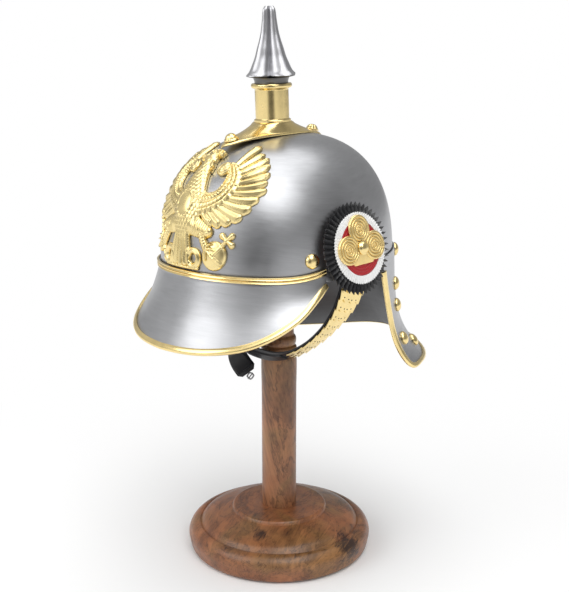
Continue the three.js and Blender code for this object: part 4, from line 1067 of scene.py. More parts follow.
        # Corners of the rim: degrees from the front, and drop below the brow
        left = [(self.guard_side, 6), (117, 46), (118, 84), (121, 102), (131, 105.5), (149, 106.5)]
        rows = left + [(180, 98)] + [(360 - a, d) for a, d in left[::-1]]
        corners = np.array([(a * degree, d) for a, d in rows])
        fine = through(corners, np.linspace(0, len(corners) - 1, 1601))
        walked = np.concatenate([[0], np.cumsum(np.linalg.norm(np.diff(fine, axis=0), axis=1))])
        steps = 168
        at = np.linspace(0, walked[-1], steps + 1)
        rim_angle = np.interp(at, walked, fine[:, 0]) / degree
        rim_drop = np.interp(at, walked, fine[:, 1])
        brow = np.linspace(self.guard_side, 360 - self.guard_side, steps + 1)
        columns = [self.guard_point(brow, drop) for drop in (-self.guard_top, 0)]
        for share in np.linspace(0, 1, 30)[1:] ** 0.8:
            columns.append(self.guard_point(brow + (rim_angle - brow) * share, share * rim_drop))
        inner = np.stack(columns, axis=1)
        normals = grid_normals(inner)
        return inner, inner + normals * self.guard_wall, normals

    def guard(self) -> None:
        """The flared neck guard and its brass binding."""
        inner, outer, normals = self.guard_faces()
        Body().sheet(outer, inner).worn("rear_guard", SHELL_STEEL, "neck_guard", crease=60)
        full = np.clip((np.abs(np.linspace(-1, 1, len(inner))) - 0.5) / 0.1, 0, 1)
        self.binding("rear_guard_binding", (inner, outer, normals), full, self.edge_slim_nose,
                     "neck_guard_binding")

    def rivet(self, name: str, node: str, at: np.ndarray, normal: np.ndarray) -> None:
        """One domed rivet head, with the middle of its foot at a place."""
        body = Body().turned(dome_head(self.rivet_radius, self.rivet_height), 32)
        body.stood(at, normal).worn(name, PALE_BRASS, node, crease=50)

    def rivets(self, side: Side) -> None:
        """The rivets of one side."""
        for word, angle, height, over in (("front", 68, 20, -0.1), ("rear", 143, 2, 2.2)):
            theta = side.value * math.radians(angle)
            phi = DOME.phi_at(theta, height)
            normal = DOME.normal(theta, phi)
            self.rivet(f"head_{word}_{side.word}", f"rivet_{word}_{side.word}",
                       DOME.point(theta, phi) + normal * over, normal)
        for number, (angle, drop) in enumerate(((133, 27), (132, 48), (127, 78.5), (143, 92)), 1):
            angle = 180 + side.value * (angle - 180)
            at = self.guard_point(angle, drop)
            around = self.guard_point(angle + 0.2, drop) - self.guard_point(angle - 0.2, drop)
            down = self.guard_point(angle, drop + 0.2) - self.guard_point(angle, drop - 0.2)
            normal = unit(np.cross(around, down))
            normal = normal if normal[:2] @ at[:2] > 0 else -normal
            self.rivet(f"head_guard_{side.word}_{number}", f"rivet_guard_{side.word}_{number}",
                       at + normal * (self.guard_wall + 0.1), normal)


@dataclass(frozen=True)
class Crown:
    """The plate, tube and spike on top of the shell."""

    plate_half_length: float = 62.0
    plate_half_width: float = 19.0
    plate_point: float = 1.5
    plate_wall: float = 1.8
    plate_lift: float = 0.5
    plate_ledge: float = 0.55
    front_lift: float = 5.5
    seat_radius: float = 17.2
    seat_height: float = 129.2
    stud_offset: float = 50.0
    stud_radius: float = 6.4
    tube_radius: float = 15.25
    tube_foot_radius: float = 16.8
    tube_wall: float = 1.5
    tube_top: float = 159.2
    collar_radius: float = 18.45
    collar_top: float = 163.1
    neck_radius: float = 15.5
    spike_foot: float = 168.4
    spike_tip: float = 229.9
    spike_radius: float = 27.4
    spike_ribs: int = 4
    spike_turn: float = 45.0
    tip_hollow_shade: float = 2.5

    def build(self) -> None:
        """Makes every piece of the crown."""
        self.plate()
        self.stud("plate_stud_front", "crown_stud_front", -self.stud_offset)
        self.stud("plate_stud_rear", "crown_stud_rear", self.stud_offset)
        self.tube()
        self.spike()

    def under(self, x: np.ndarray, y: np.ndarray) -> np.ndarray:
        """Height of the plate's underside."""
        lift = self.front_lift * np.maximum(0, -y / self.plate_half_length) ** 1.6
        return DOME.height_at(x, y) + self.plate_lift + lift

    def top(self, x: np.ndarray, y: np.ndarray, share: np.ndarray) -> np.ndarray:
        """Height of the plate's upper face, share of the way from the seat to the edge."""
        low = self.under(x, y) + self.plate_wall
        return low + (self.seat_height - low) * (1 - share) ** 2.6

    def plate(self) -> None:
        """The long plate that rises in a cone to the tube."""
        around = 144
        angle = np.arange(around)[:, None] / around * TURN
        share = np.linspace(0, 1, 30)[None]
        x = (self.seat_radius * np.sin(angle) * (1 - share)
             + self.plate_half_width * sharpened(np.sin(angle), self.plate_point) * share)
        y = -(self.seat_radius * (1 - share) + self.plate_half_length * share) * np.cos(angle)
        top = self.top(x, y, share)
        edge = np.maximum(0, (share - 0.93) / 0.07)
        ledge = self.plate_ledge * soft_line(share - 0.055, 0.03)
        upper = np.stack([x, y, top - 0.9 * edge ** 2 + ledge], axis=-1)
        lower = np.stack([x, y, self.under(x, y)], axis=-1)
        middle = np.zeros((around, 1, 3))
        upper = np.concatenate([middle + (0, 0, self.seat_height), upper], axis=1)
        lower = np.concatenate([middle + (0, 0, DOME.height + self.plate_lift), lower], axis=1)
        Body().sheet(upper, lower, True).worn("top_plate", PALE_BRASS, "crown_plate", crease=45)

    def stud(self, name: str, node: str, y: float) -> None:
        """A scalloped stud that holds the plate.

        Args:
            name: the piece's name.
            node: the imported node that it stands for.
            y: its place along the plate.
        """
        share = (self.stud_offset - self.seat_radius) / (self.plate_half_length - self.seat_radius)
        slope = float(self.top(0.0, y + 1.0, share) - self.top(0.0, y - 1.0, share)) / 2
        normal = unit(np.array([0, -slope, 1.0]))
        at = np.array([0, y, float(self.top(0.0, y, share))]) + normal * 0.1
        r = self.stud_radius
        rows = round_line((
            (0, 0), (r, 0), (r, 0.9), (r * 0.86, 1.6), (r * 0.8, 2.6), (r * 0.6, 4.4), (r * 0.3, 5.4),
            (0, 5.6),
        ), 3, (1, 2, 3))
        petals = 8

        def scallop(angle: np.ndarray, height: np.ndarray) -> np.ndarray:
            """Share taken from the stud's radius between its petals."""
            return 0.1 * (0.5 - 0.5 * np.cos(angle * petals)) * (height > 1.5) * (height < 5.3)

        Body().turned(rows, 64, scallop).stood(at, normal).worn(name, PALE_BRASS, node, crease=45)

    def tube(self) -> None:
        """The brass tube with its foot and collar, and the dark neck above it."""
        r, ring, top = self.tube_radius, self.tube_foot_radius, self.tube_top
        foot, bore = self.seat_height + 0.1, r - self.tube_wall
        collar = (top + self.collar_top) / 2
        swell = [(self.collar_radius - 0.9 + 0.9 * math.sin(a), collar - 1.95 * math.cos(a))
                 for a in np.linspace(0.15, math.pi - 0.15, 9)]
        rows = [(bore, foot), (ring, foot), (ring, foot + 1.4), (ring - 0.5, foot + 2.0), (15.6, foot + 2.1),
                (r, foot + 2.6), (r, foot + 3.0), (r, top - 2.0), (r, top - 1.6), (r + 0.5, top - 0.8),
                (self.collar_radius - 1.2, top), *swell, (bore, self.collar_top), (bore, foot)]
        Body().turned(rows, 96).worn("brass_tube", PALE_BRASS, "spike_tube", crease=35)
        low, high, r = self.collar_top + 0.1, self.spike_foot - 0.1, self.neck_radius
        neck = [(0, low), (r - 0.4, low), (r - 0.4, low + 0.9), (r - 0.1, low + 2.4), (r + 0.5, high - 1.0),
                (r + 1.1, high), (0, high)]
        Body().turned(neck, 96).worn("dark_neck", NECK_METAL, "spike_neck", crease=35)

    def spike(self) -> None:
        """The fluted spike with four sharp ribs and a split tip."""
        up = np.concatenate([np.linspace(0, 0.05, 6), np.linspace(0.06, 1, 60)])
        # Share of the spike's height, and share of its radius there
        out = read_table((
            (0, 0.68), (0.02, 0.95), (0.035, 1), (0.09, 0.87), (0.205, 0.725), (0.3, 0.62), (0.41, 0.535),
            (0.52, 0.44), (0.635, 0.365), (0.8, 0.3), (0.955, 0.25), (1, 0.17),
        ), up)[:, 0]
        height = self.spike_tip - self.spike_foot
        rows = np.stack([self.spike_radius * out, self.spike_foot + height * up], axis=-1)
        rows = np.concatenate([[[0, self.spike_foot]], rows, [[0, self.spike_tip - self.tip_hollow_shade]]])

        def flute(angle: np.ndarray, z: np.ndarray) -> np.ndarray:
            """Share of the radius taken away between the ribs.

            Args:
                angle: angles about Z.
                z: heights.

            Returns:
                The shares.
            """
            place = np.mod(angle * self.spike_ribs / TURN, 1.0)
            near = np.minimum(place, 1 - place) * 2
            taken = read_table(((0, 0.44), (1 / 3, 0.23), (2 / 3, 0.08), (0.9, 0.015), (1, 0)), near.ravel())
            deeper = 1 + 0.5 * np.clip((z - self.spike_foot) / height - 0.55, 0, 1)
            return taken[:, 0].reshape(near.shape) * deeper

        body = Body().turned(rows, 192, flute).moved(lambda points: spun(points, self.spike_turn))
        body.worn("fluted_spike", SPIKE_STEEL, "spike", crease=38)


@dataclass(frozen=True)
class Stand:
    """The turned wooden base and post."""

    base_radius: float = 89.7
    base_height: float = 42.9
    post_radius: float = 16.8
    shaft_top: float = 197.0
    neck_radius: float = 13.8
    head_radius: float = 31.0

    def build(self) -> None:
        """Makes the base and the post."""
        # Shares of the base's radius and height
        profile = np.array((
            (0, 0), (0.925, 0), (0.97, 0.07), (0.991, 0.233), (1, 0.373), (0.975, 0.513), (0.93, 0.6),
            (0.885, 0.625), (0.866, 0.606), (0.856, 0.63), (0.82, 0.71), (0.736, 0.79), (0.613, 0.862),
            (0.54, 0.905), (0.522, 0.915), (0.515, 0.955), (0.5, 0.992), (0.46, 1), (0, 1),
        ))
        rows = round_line(profile * (self.base_radius, self.base_height), 5, (1, 8, 14))
        Body().turned(rows, 160).piece("wood_base", STAND_WOOD, ["stand_base"], 35)
        head = PLACE.at[2] + (DOME.height - DOME.wall) * math.cos(math.radians(PLACE.tilt)) - GAP
        p, n, r = self.post_radius, self.neck_radius, self.head_radius
        foot, top = self.base_height + 0.1, self.shaft_top
        rings = round_line((
            (0, foot), (p, foot), (p, self.base_height + 2), (p, top - 40), (p * 0.995, top - 2),
            (p * 0.95, top - 0.5), (p, top + 1.5), (p * 1.02, top + 4.5), (p, top + 7.5),
            (p * 0.9, top + 9.5), (p * 0.96, top + 11.5), (p * 0.985, top + 14.5), (p * 0.96, top + 17),
            (p * 0.86, top + 19.5), (p * 0.84, top + 26), (n, top + 60), (n, head - 24),
            (r, head - 16), (r, head - 5), (0, head),
        ), 5, (1, 2, 5, 9, 13, 16, 17, 18))
        Body().turned(rings, 112).piece("wood_post", POST_WOOD, ["stand_post"], 35)


@dataclass(frozen=True)
class ChinStrap:
    """The leather strap, the brass scales on it, its loose end and the buckle."""

    wall: float = 2.0
    layer_wall: float = 1.4
    scales: int = 11
    scale_start: float = 0.17
    scale_end: float = 0.69
    scale_lap: float = 1.22
    scale_lobes: int = 3
    scale_reach: float = 0.2
    hole_radius: float = 0.75
    tail_width: float = 20.0
    tail_wall: float = 2.0
    keeper_wall: float = 1.3
    buckle_size: float = 7.5
    buckle_wire: float = 0.8

    def path(self) -> np.ndarray:
        """Rows of x, y, z, width and lean from the wearer's left rosette to under the chin."""
        rows = (
            (97.2, 1, -36, 21, 0),
            (97.4, 1.5, -14, 27, 0),
            (97.85, 3, 5, 31, 0),
            (94.5, 9.5, 23, 28, 0),
            (85, 17, 41.5, 23, 0),
            (69.5, 23, 58.5, 19, 5),
            (50.5, 27, 71.5, 16, 14),
            (31.5, 28.5, 79, 14, 34),
            (14, 29, 82, 13, 52),
            (0, 29, 82.5, 13, 56),
        )
        table = np.array(rows, float)
        table[:, 1:3] *= -1
        return table

    def frames(self, places: np.ndarray) -> tuple:
        """Frames of the strap.

        Args:
            places: 0 at the left rosette, 1 under the chin, 2 at the right rosette.

        Returns:
            Points, directions out of the strap and across it, and widths.
        """
        half = self.path()
        mirror = half[:-1][::-1] * (-1, 1, 1, 1, 1)
        whole = np.concatenate([half, mirror])
        last = len(half) - 1
        at = through(whole[:, :3], places * last)
        step = 1e-3
        ahead = through(whole[:, :3], np.minimum(places + step, 2) * last)
        behind = through(whole[:, :3], np.maximum(places - step, 0) * last)
        along = unit(ahead - behind)
        near = np.minimum(places, 2 - places) * last
        width = np.interp(near, np.arange(last + 1), half[:, 3])
        lean = np.radians(np.interp(near, np.arange(last + 1), half[:, 4]))
        forward = np.stack([0 * lean, -np.cos(lean), np.sin(lean)], axis=-1)
        out = unit(np.cross(forward, along))
        return at, out, unit(np.cross(along, out)), width

    def build(self) -> None:
        """Makes the strap and all that is on it."""
        at, out, across, width = self.frames(np.linspace(0, 2, 241))
        w = self.wall
        sections = np.array([
            [(0.3, -h), (w - 0.5, -h), (w, -h + 0.6), (w, h - 0.6), (w - 0.5, h), (0.3, h), (0, h - 0.4),
             (0, -h + 0.4)] for h in width / 2])
        Body().sweep(in_frames((at, out, across), sections)).worn(
            "leather_strap", BLACK_LEATHER, "chin_strap", crease=50)
        round_post = slice(92, 160)
        low, high = w + 0.1, w + 0.1 + self.layer_wall
        layer = np.array([(low, -7.4), (high, -6.8), (high, 1.6), (low, 2.2)])
        frames = (at[round_post], out[round_post], across[round_post])
        Body().sweep(in_frames(frames, layer)).worn("strap_second_layer", BLACK_LEATHER)
        for side in Side:
            self.scale_row(side)
        self.tail()

    def scale_row(self, side: Side) -> None:
        """The lapped brass scales of one side, with a row of small pierced dots in each.

        Args:
            side: the wearer's side.
        """
        plates, holes = Body(), Body()
        step = (self.scale_end - self.scale_start) / self.scales
        rows, columns = 12, 25
        share = np.linspace(-1, 1, columns)[None]
        lobes = np.abs(np.sin(share * math.pi * self.scale_lobes / 2))
        reach = 1 - self.scale_reach * (1 - lobes) - 0.1 * share ** 2
        slide = np.linspace(0, self.scale_lap, rows)[:, None] * reach
        for number in range(self.scales):
            places = (self.scale_start + step * (number + slide)).reshape(-1)
            found = self.frames(places if side is Side.LEFT else 2 - places)
            at, out, across = (part.reshape(rows, columns, 3) for part in found[:3])
            half = found[3].reshape(rows, columns) / 2 * 0.985
            low = self.wall + GAP + slide + 0.5 * (1 - share ** 2)
            ridge = 0.7 + 0.45 * lobes * np.clip(slide - 0.3, 0, 1)
            inner = at + out * low[..., None] + across * (half * share)[..., None]
            outer = inner + out * ridge[..., None]
            plates.sheet(outer, inner)
            for j in (5, 10, 14, 19):
                r = self.hole_radius
                hole = Body().turned([(0, -0.1), (r, -0.1), (r, 0.06), (0, 0.06)], 10)
                holes.join(hole.stood(outer[8, j], out[8, j]))
        plates.worn(f"brass_scales_{side.word}", PALE_BRASS, f"chin_scales_{side.word}", crease=45)
        holes.worn(f"scale_holes_{side.word}", DULL_METAL)

    def tail(self) -> None:
        """The strap's loose end, doubled near its tip, and the small buckle on it."""
        # x, y and z of the strap's middle, and its turn in degrees
        rows = np.array([
            (-25, -31.5, -84.9, 4), (-24.5, -33, -90, 12), (-18.5, -33.5, -98, 28), (-9.5, -33, -106, 35)])
        fine = through(rows, np.linspace(0, 3, 31))
        at, turn = fine[:, :3], np.radians(fine[:, 3])
        along = unit(np.gradient(at, axis=0))
        out = unit(np.cross(along, np.stack([np.cos(turn), np.sin(turn), 0 * turn], axis=-1)))
        across = unit(np.cross(out, along))
        h, w = self.tail_width / 2, self.tail_wall
        ease = np.clip((np.linspace(0, 1, 31) - 0.9) / 0.1, 0, 1) * 3.5
        sections = np.array([
            [(0, -e), (w * 0.8, -e), (w, -e + 0.5), (w, e - 0.5), (w * 0.8, e), (0, e)] for e in h - ease])
        Body().sweep(in_frames((at, out, across), sections)).worn(
            "strap_loose_end", BLACK_LEATHER, "strap_tail", crease=50)
        tip = slice(12, 28)
        low, high, h2 = w + 0.1, w + 0.1 + self.keeper_wall, h * 0.82
        second = np.array([(low, -h2), (high, -h2 + 0.4), (high, h2 - 0.4), (low, h2)])
        Body().sweep(in_frames((at[tip], out[tip], across[tip]), second)).worn("strap_keeper", BLACK_LEATHER)
        self.buckle(at[-1] + out[-1] * w / 2, along[-1], out[-1])

    def buckle(self, tip: np.ndarray, along: np.ndarray, out: np.ndarray) -> None:
        """The small square buckle with its bar.

        Args:
            tip: middle of the strap's tip.
            along: the strap's direction there.
            out: direction of its face there.
        """
        half, wire = self.buckle_size / 2, self.buckle_wire
        angle = np.linspace(0, TURN, 48, endpoint=False)
        squared = 1 / np.maximum(np.abs(np.cos(angle)), np.abs(np.sin(angle))) ** 0.55
        ring = polar(1.0, angle, 0 * angle) * (half - wire)
        ring = ring * np.minimum(squared, 1.2)[:, None] * 0.9
        up = np.broadcast_to([0.0, 0.0, 1.0], ring.shape)
        body = Body().sweep(in_frames((ring, unit(ring), up), circle(wire, 10)), True)
        bar = Body().turned([(0, -half), (0.6, -half), (0.6, half), (0, half)], 10)
        body.join(bar.moved(lambda points: points[:, [0, 2, 1]] * (1, 1, -1)))
        body.stood(tip + along * (half + 0.1), out)
        body.worn("steel_buckle", SPIKE_STEEL, "strap_buckle", crease=50)


@dataclass(frozen=True)
class Rosette:
    """The rosette that covers the strap's end on one side."""

    side: Side
    centre: tuple = (103.0, -1.0, 26.0)
    tilt: float = 12.0
    ring_radius: float = 40.5
    teeth: int = 48
    white_radius: float = 31.2
    white_width: float = 7.2
    back: float = 3.1
    pleat_deep: float = 3.4
    tooth_deep: float = 5.2
    cloth_wall: float = 0.8
    red_ribs: int = 60
    web_radius: float = 18.0
    web_flat: float = 14.2
    web_middle: float = 12.6
    lobe_out: float = 15.8
    lobe_long: float = 12.8
    lobe_wide: float = 12.6
    twist: float = 2.1

    def stand(self, points: np.ndarray) -> np.ndarray:
        """Takes points drawn about Z to the side of the shell, and then to the model's frame.

        Args:
            points: array of points.

        Returns:
            The moved points.
        """
        a = math.radians(90 - self.tilt)
        turn = np.array([[math.cos(a), 0, math.sin(a)], [0, 1, 0], [-math.sin(a), 0, math.cos(a)]])
        placed = points @ turn.T + np.array(self.centre)
        return PLACE.world(placed * (self.side.value, 1, 1))

    def finish(self, body: Body, name: str, look: Finish, node: str = "", crease: float = 45.0) -> None:
        """Stands a body drawn about Z in its place and makes its piece, named for its side."""
        nodes = [f"{node}_{self.side.word}"] if node else []
        body.moved(self.stand).piece(f"{name}_{self.side.word}", look, nodes, crease)

    def build(self) -> None:
        """Makes the rosette's layers from the back to the front."""
        self.ring()
        self.white()
        self.red()
        self.trefoil()
        top = self.back + 1.6 + 2.2 + 0.3
        rows = [(0, top), (6.0, top), (6.0, top + 0.8), (5.3, top + 1.3), *dome_head(4.8, 2.4, top + 1.2)[2:]]
        self.finish(Body().turned(rows, 48), "rosette_knob", PALE_BRASS, "rosette_boss")
        stem = [(0, -5.0), (7, -5.0), (7, self.back - 0.3), (0, self.back - 0.3)]
        self.finish(Body().turned(stem, 32), "rosette_lug", PALE_BRASS, "rosette_stem")

    def ring(self) -> None:
        """The black ring, pleated like a folded ribbon with a toothed edge."""
        per = 10
        count = self.teeth * per
        angle = np.arange(count)[:, None] / count * TURN
        fold = zigzag(count, per)
        inner = self.white_radius - 3.6
        rows = np.linspace(0, 1, 14)[None]
        outer = self.ring_radius - self.tooth_deep * (1 - fold) ** 1.1
        radius = inner + (outer - inner) * rows
        fall = 2.4 - 3.9 * rows ** 1.2
        pleat = (fold - 0.5) * self.pleat_deep * rows ** 0.8
        ripple = 0.18 * np.sin(rows * 60)
        upper = polar(radius, angle, fall + pleat + ripple)
        lower = upper - (0, 0, self.cloth_wall)
        self.finish(Body().sheet(upper, lower, True), "pleated_ring", BLACK_CLOTH, "rosette_ring", 30)

    def white(self) -> None:
        """The white ring, with a fine toothed edge and fine ribs."""
        teeth, per = 72, 6
        count = teeth * per
        angle = np.arange(count)[:, None] / count * TURN
        fold = zigzag(count, per)
        rows = np.linspace(0, 1, 8)[None]
        inner = self.white_radius - self.white_width
        outer = self.white_radius - 0.9 * (1 - fold)
        radius = inner + (outer - inner) * rows
        z = self.back + 1.3 - 0.5 * rows ** 2 + 0.45 * (fold - 0.5) * rows ** 0.5
        upper, lower = polar(radius, angle, z), polar(radius, angle, 0 * z + self.back)
        self.finish(Body().sheet(upper, lower, True), "white_ring", WHITE_METAL, "rosette_white", 30)

    def red(self) -> None:
        """The red middle, ribbed round and round."""
        outer = self.white_radius - self.white_width - 0.15
        radii = np.linspace(0, outer, 72)
        top = self.back + 1.0 + 0.28 * np.cos(radii / 1.25 * TURN / 2)
        top[0] = self.back + 1.1
        rows = [(0, self.back), (outer, self.back), *zip(radii[::-1], top[::-1])]

        def rib(angle: np.ndarray, height: np.ndarray) -> np.ndarray:
            """Share taken from the radius by the weave's fine ribs."""
            return 0.004 * np.cos(angle * self.red_ribs) * (height > self.back + 0.1)

        self.finish(Body().turned(rows, 3 * self.red_ribs, rib), "red_middle", RED_METAL, "rosette_red", 50)

    def coil(self, share: float, up: float, thick: float) -> np.ndarray:
        """One turn of twisted cord in a lobe.

        Args:
            share: share of the lobe's size.
            up: height of the cord's middle.
            thick: the cord's radius.

        Returns:
            The cord's rings, with the lobe out along X.
        """
        steps, around = 96, 12
        t = np.arange(steps) / steps * TURN
        s = np.arange(around) / around * TURN
        a, b = (self.lobe_long - 1.4) * share, (self.lobe_wide - 1.4) * share
        line = np.stack([self.lobe_out + a * np.cos(t), b * np.sin(t), 0 * t + up], axis=-1)
        along = unit(np.roll(line, -1, axis=0) - np.roll(line, 1, axis=0))
        out = unit(np.cross(along, [0.0, 0.0, 1.0]))
        strands = max(3, round(TURN * (a + b) / 2 / self.twist))
        radius = thick * (1 + 0.13 * np.cos(2 * (s[None] - t[:, None] * strands)))
        section = np.stack([radius * np.cos(s), radius * 0.92 * np.sin(s)], axis=-1)
        return in_frames((line, out, np.broadcast_to([0.0, 0.0, 1.0], out.shape)), section)

    def trefoil(self) -> None:
        """Three loops of coiled brass cord on a web with a straight lower edge."""
        foot = self.back + 1.5
        body = Body()
        # Each turn's share of the lobe, its lift and its radius
        turns = ((1.0, 0.0, 1.5), (0.76, 0.3, 1.45), (0.52, 0.5, 1.4), (0.29, 0.6, 1.3), (0.08, 0.7, 1.0))
        for lobe in (90, 180, 270):
            for share, lift, thick in turns:
                body.sweep(spun(self.coil(share, foot + 0.9 + lift, thick), lobe), True)
        flat, corner, middle = self.web_flat, self.web_radius, self.web_middle

        def trim(angle: np.ndarray, height: np.ndarray) -> np.ndarray:
            """Share taken from the web's radius, so that its lower edge is straight."""
            fold = np.abs(np.mod(angle + math.pi, TURN) - math.pi)
            lower = np.minimum(flat / np.cos(np.minimum(fold, 0.9)), corner)
            return 1 - np.where(fold < 0.9, lower, middle) / corner + 0 * height

        web = Body().turned([(0, foot), (corner, foot), (corner, foot + 0.9), (corner - 0.8, foot + 1.3),
                             (0, foot + 1.3)], 120, trim)
        self.finish(body.join(web), "cord_trefoil", CORD_BRASS, "rosette_trefoil", 60)


# The eagle


@dataclass(frozen=True)
class Mark:
    """A place on the flat eagle: across from its middle, up from the brow, and half a width."""

    across: float
    up: float
    half: float = 0.0


@dataclass
class Relief:
    """A raised drawing on a flat grid: how tall each point is, and how far outside the edge."""

    cell: float = 0.5
    reach: float = 82.0
    lowest: float = 11.0
    highest: float = 141.0

    def __post_init__(self) -> None:
        """Starts flat, with every point outside."""
        across = np.arange(-self.reach, self.reach + self.cell, self.cell)
        up = np.arange(self.lowest, self.highest + self.cell, self.cell)
        self.x, self.y = np.meshgrid(across, up, indexing="ij")
        self.tall = np.zeros_like(self.x)
        self.edge = np.full_like(self.x, 50.0)

    def away(self, across: float, up: float) -> np.ndarray:
        """Distance from a place."""
        return np.hypot(self.x - across, self.y - up)

    def near(self, marks: Sequence[Mark]) -> tuple:
        """Measures a broken line.

        Args:
            marks: the line's corners.

        Returns:
            Distance from the line, signed side, length along it and half width there.
        """
        best = np.full_like(self.x, 1e9)
        side, along, half = np.zeros_like(best), np.zeros_like(best), np.ones_like(best)
        walked = 0.0
        for a, b in zip(marks[:-1], marks[1:]):
            dx, dy = b.across - a.across, b.up - a.up
            size = math.hypot(dx, dy)
            t = np.clip(((self.x - a.across) * dx + (self.y - a.up) * dy) / size ** 2, 0, 1)
            ex, ey = self.x - a.across - t * dx, self.y - a.up - t * dy
            away = np.hypot(ex, ey)
            closer = away < best
            best = np.where(closer, away, best)
            side = np.where(closer, np.sign(dx * ey - dy * ex), side)
            along = np.where(closer, walked + t * size, along)
            half = np.where(closer, a.half + (b.half - a.half) * t, half)
            walked += size
        return best, side, along, half

    def raise_to(self, edge: np.ndarray, tall: np.ndarray) -> None:
        """Joins a form to the drawing.

        Args:
            edge: distance outside the form, negative within it.
            tall: the form's height.
        """
        inside = edge < 0
        self.tall = np.where(inside, np.maximum(self.tall, tall), self.tall)
        self.edge = np.minimum(self.edge, edge)

    def carve(self, depth: np.ndarray) -> None:
        """Lowers the drawing by a depth, never through its back."""
        self.tall = np.maximum(self.tall - depth, 0.5)

    def hole(self, edge: np.ndarray) -> None:
        """Cuts right through where an edge distance is negative."""
        self.edge = np.maximum(self.edge, -edge)

    def bar(self, marks: Sequence[Mark], tall: float, wall: float = 1.3, round_power: float = 2.0) -> tuple:
        """A rounded bar along a line.

        Args:
            marks: its corners.
            tall: height of its crest.
            wall: height of its edge.
            round_power: how round its section is.

        Returns:
            What near() gives.
        """
        away, side, along, half = self.near(marks)
        share = np.clip(away / np.maximum(half, 1e-6), 0, 1)
        self.raise_to(away - half, wall + (tall - wall) * (1 - share ** round_power))
        return away, side, along, half

    def knob(self, across: float, up: float, radius: float, tall: float, wall: float = 1.0) -> np.ndarray:
        """A round boss.

        Args:
            across: its middle.
            up: its middle.
            radius: its radius.
            tall: its height.
            wall: height of its edge.

        Returns:
            Distance from its middle.
        """
        away = self.away(across, up)
        share = np.clip(away / radius, 0, 1)
        self.raise_to(away - radius, wall + (tall - wall) * np.sqrt(1 - share ** 2))
        return away


def bead(across: np.ndarray, up: np.ndarray, radius: float) -> np.ndarray:
    """Height, from 0 to 1, of a round bead at distances from its middle."""
    return np.sqrt(np.clip(1 - (across ** 2 + up ** 2) / radius ** 2, 0, 1))


def curve(marks: Sequence[Mark], steps: int = 6) -> list:
    """A smooth line of marks through a few.

    Args:
        marks: the few.
        steps: stretches between one and the next.

    Returns:
        The smooth line.
    """
    rows = np.array([(m.across, m.up, m.half) for m in marks])
    fine = through(rows, np.linspace(0, len(rows) - 1, (len(rows) - 1) * steps + 1))
    return [Mark(*row) for row in fine]


def mirror(marks: Sequence[Mark], sign: int) -> list:
    """The same marks on a side of the middle."""
    return [Mark(m.across * sign, m.up, m.half) for m in marks]


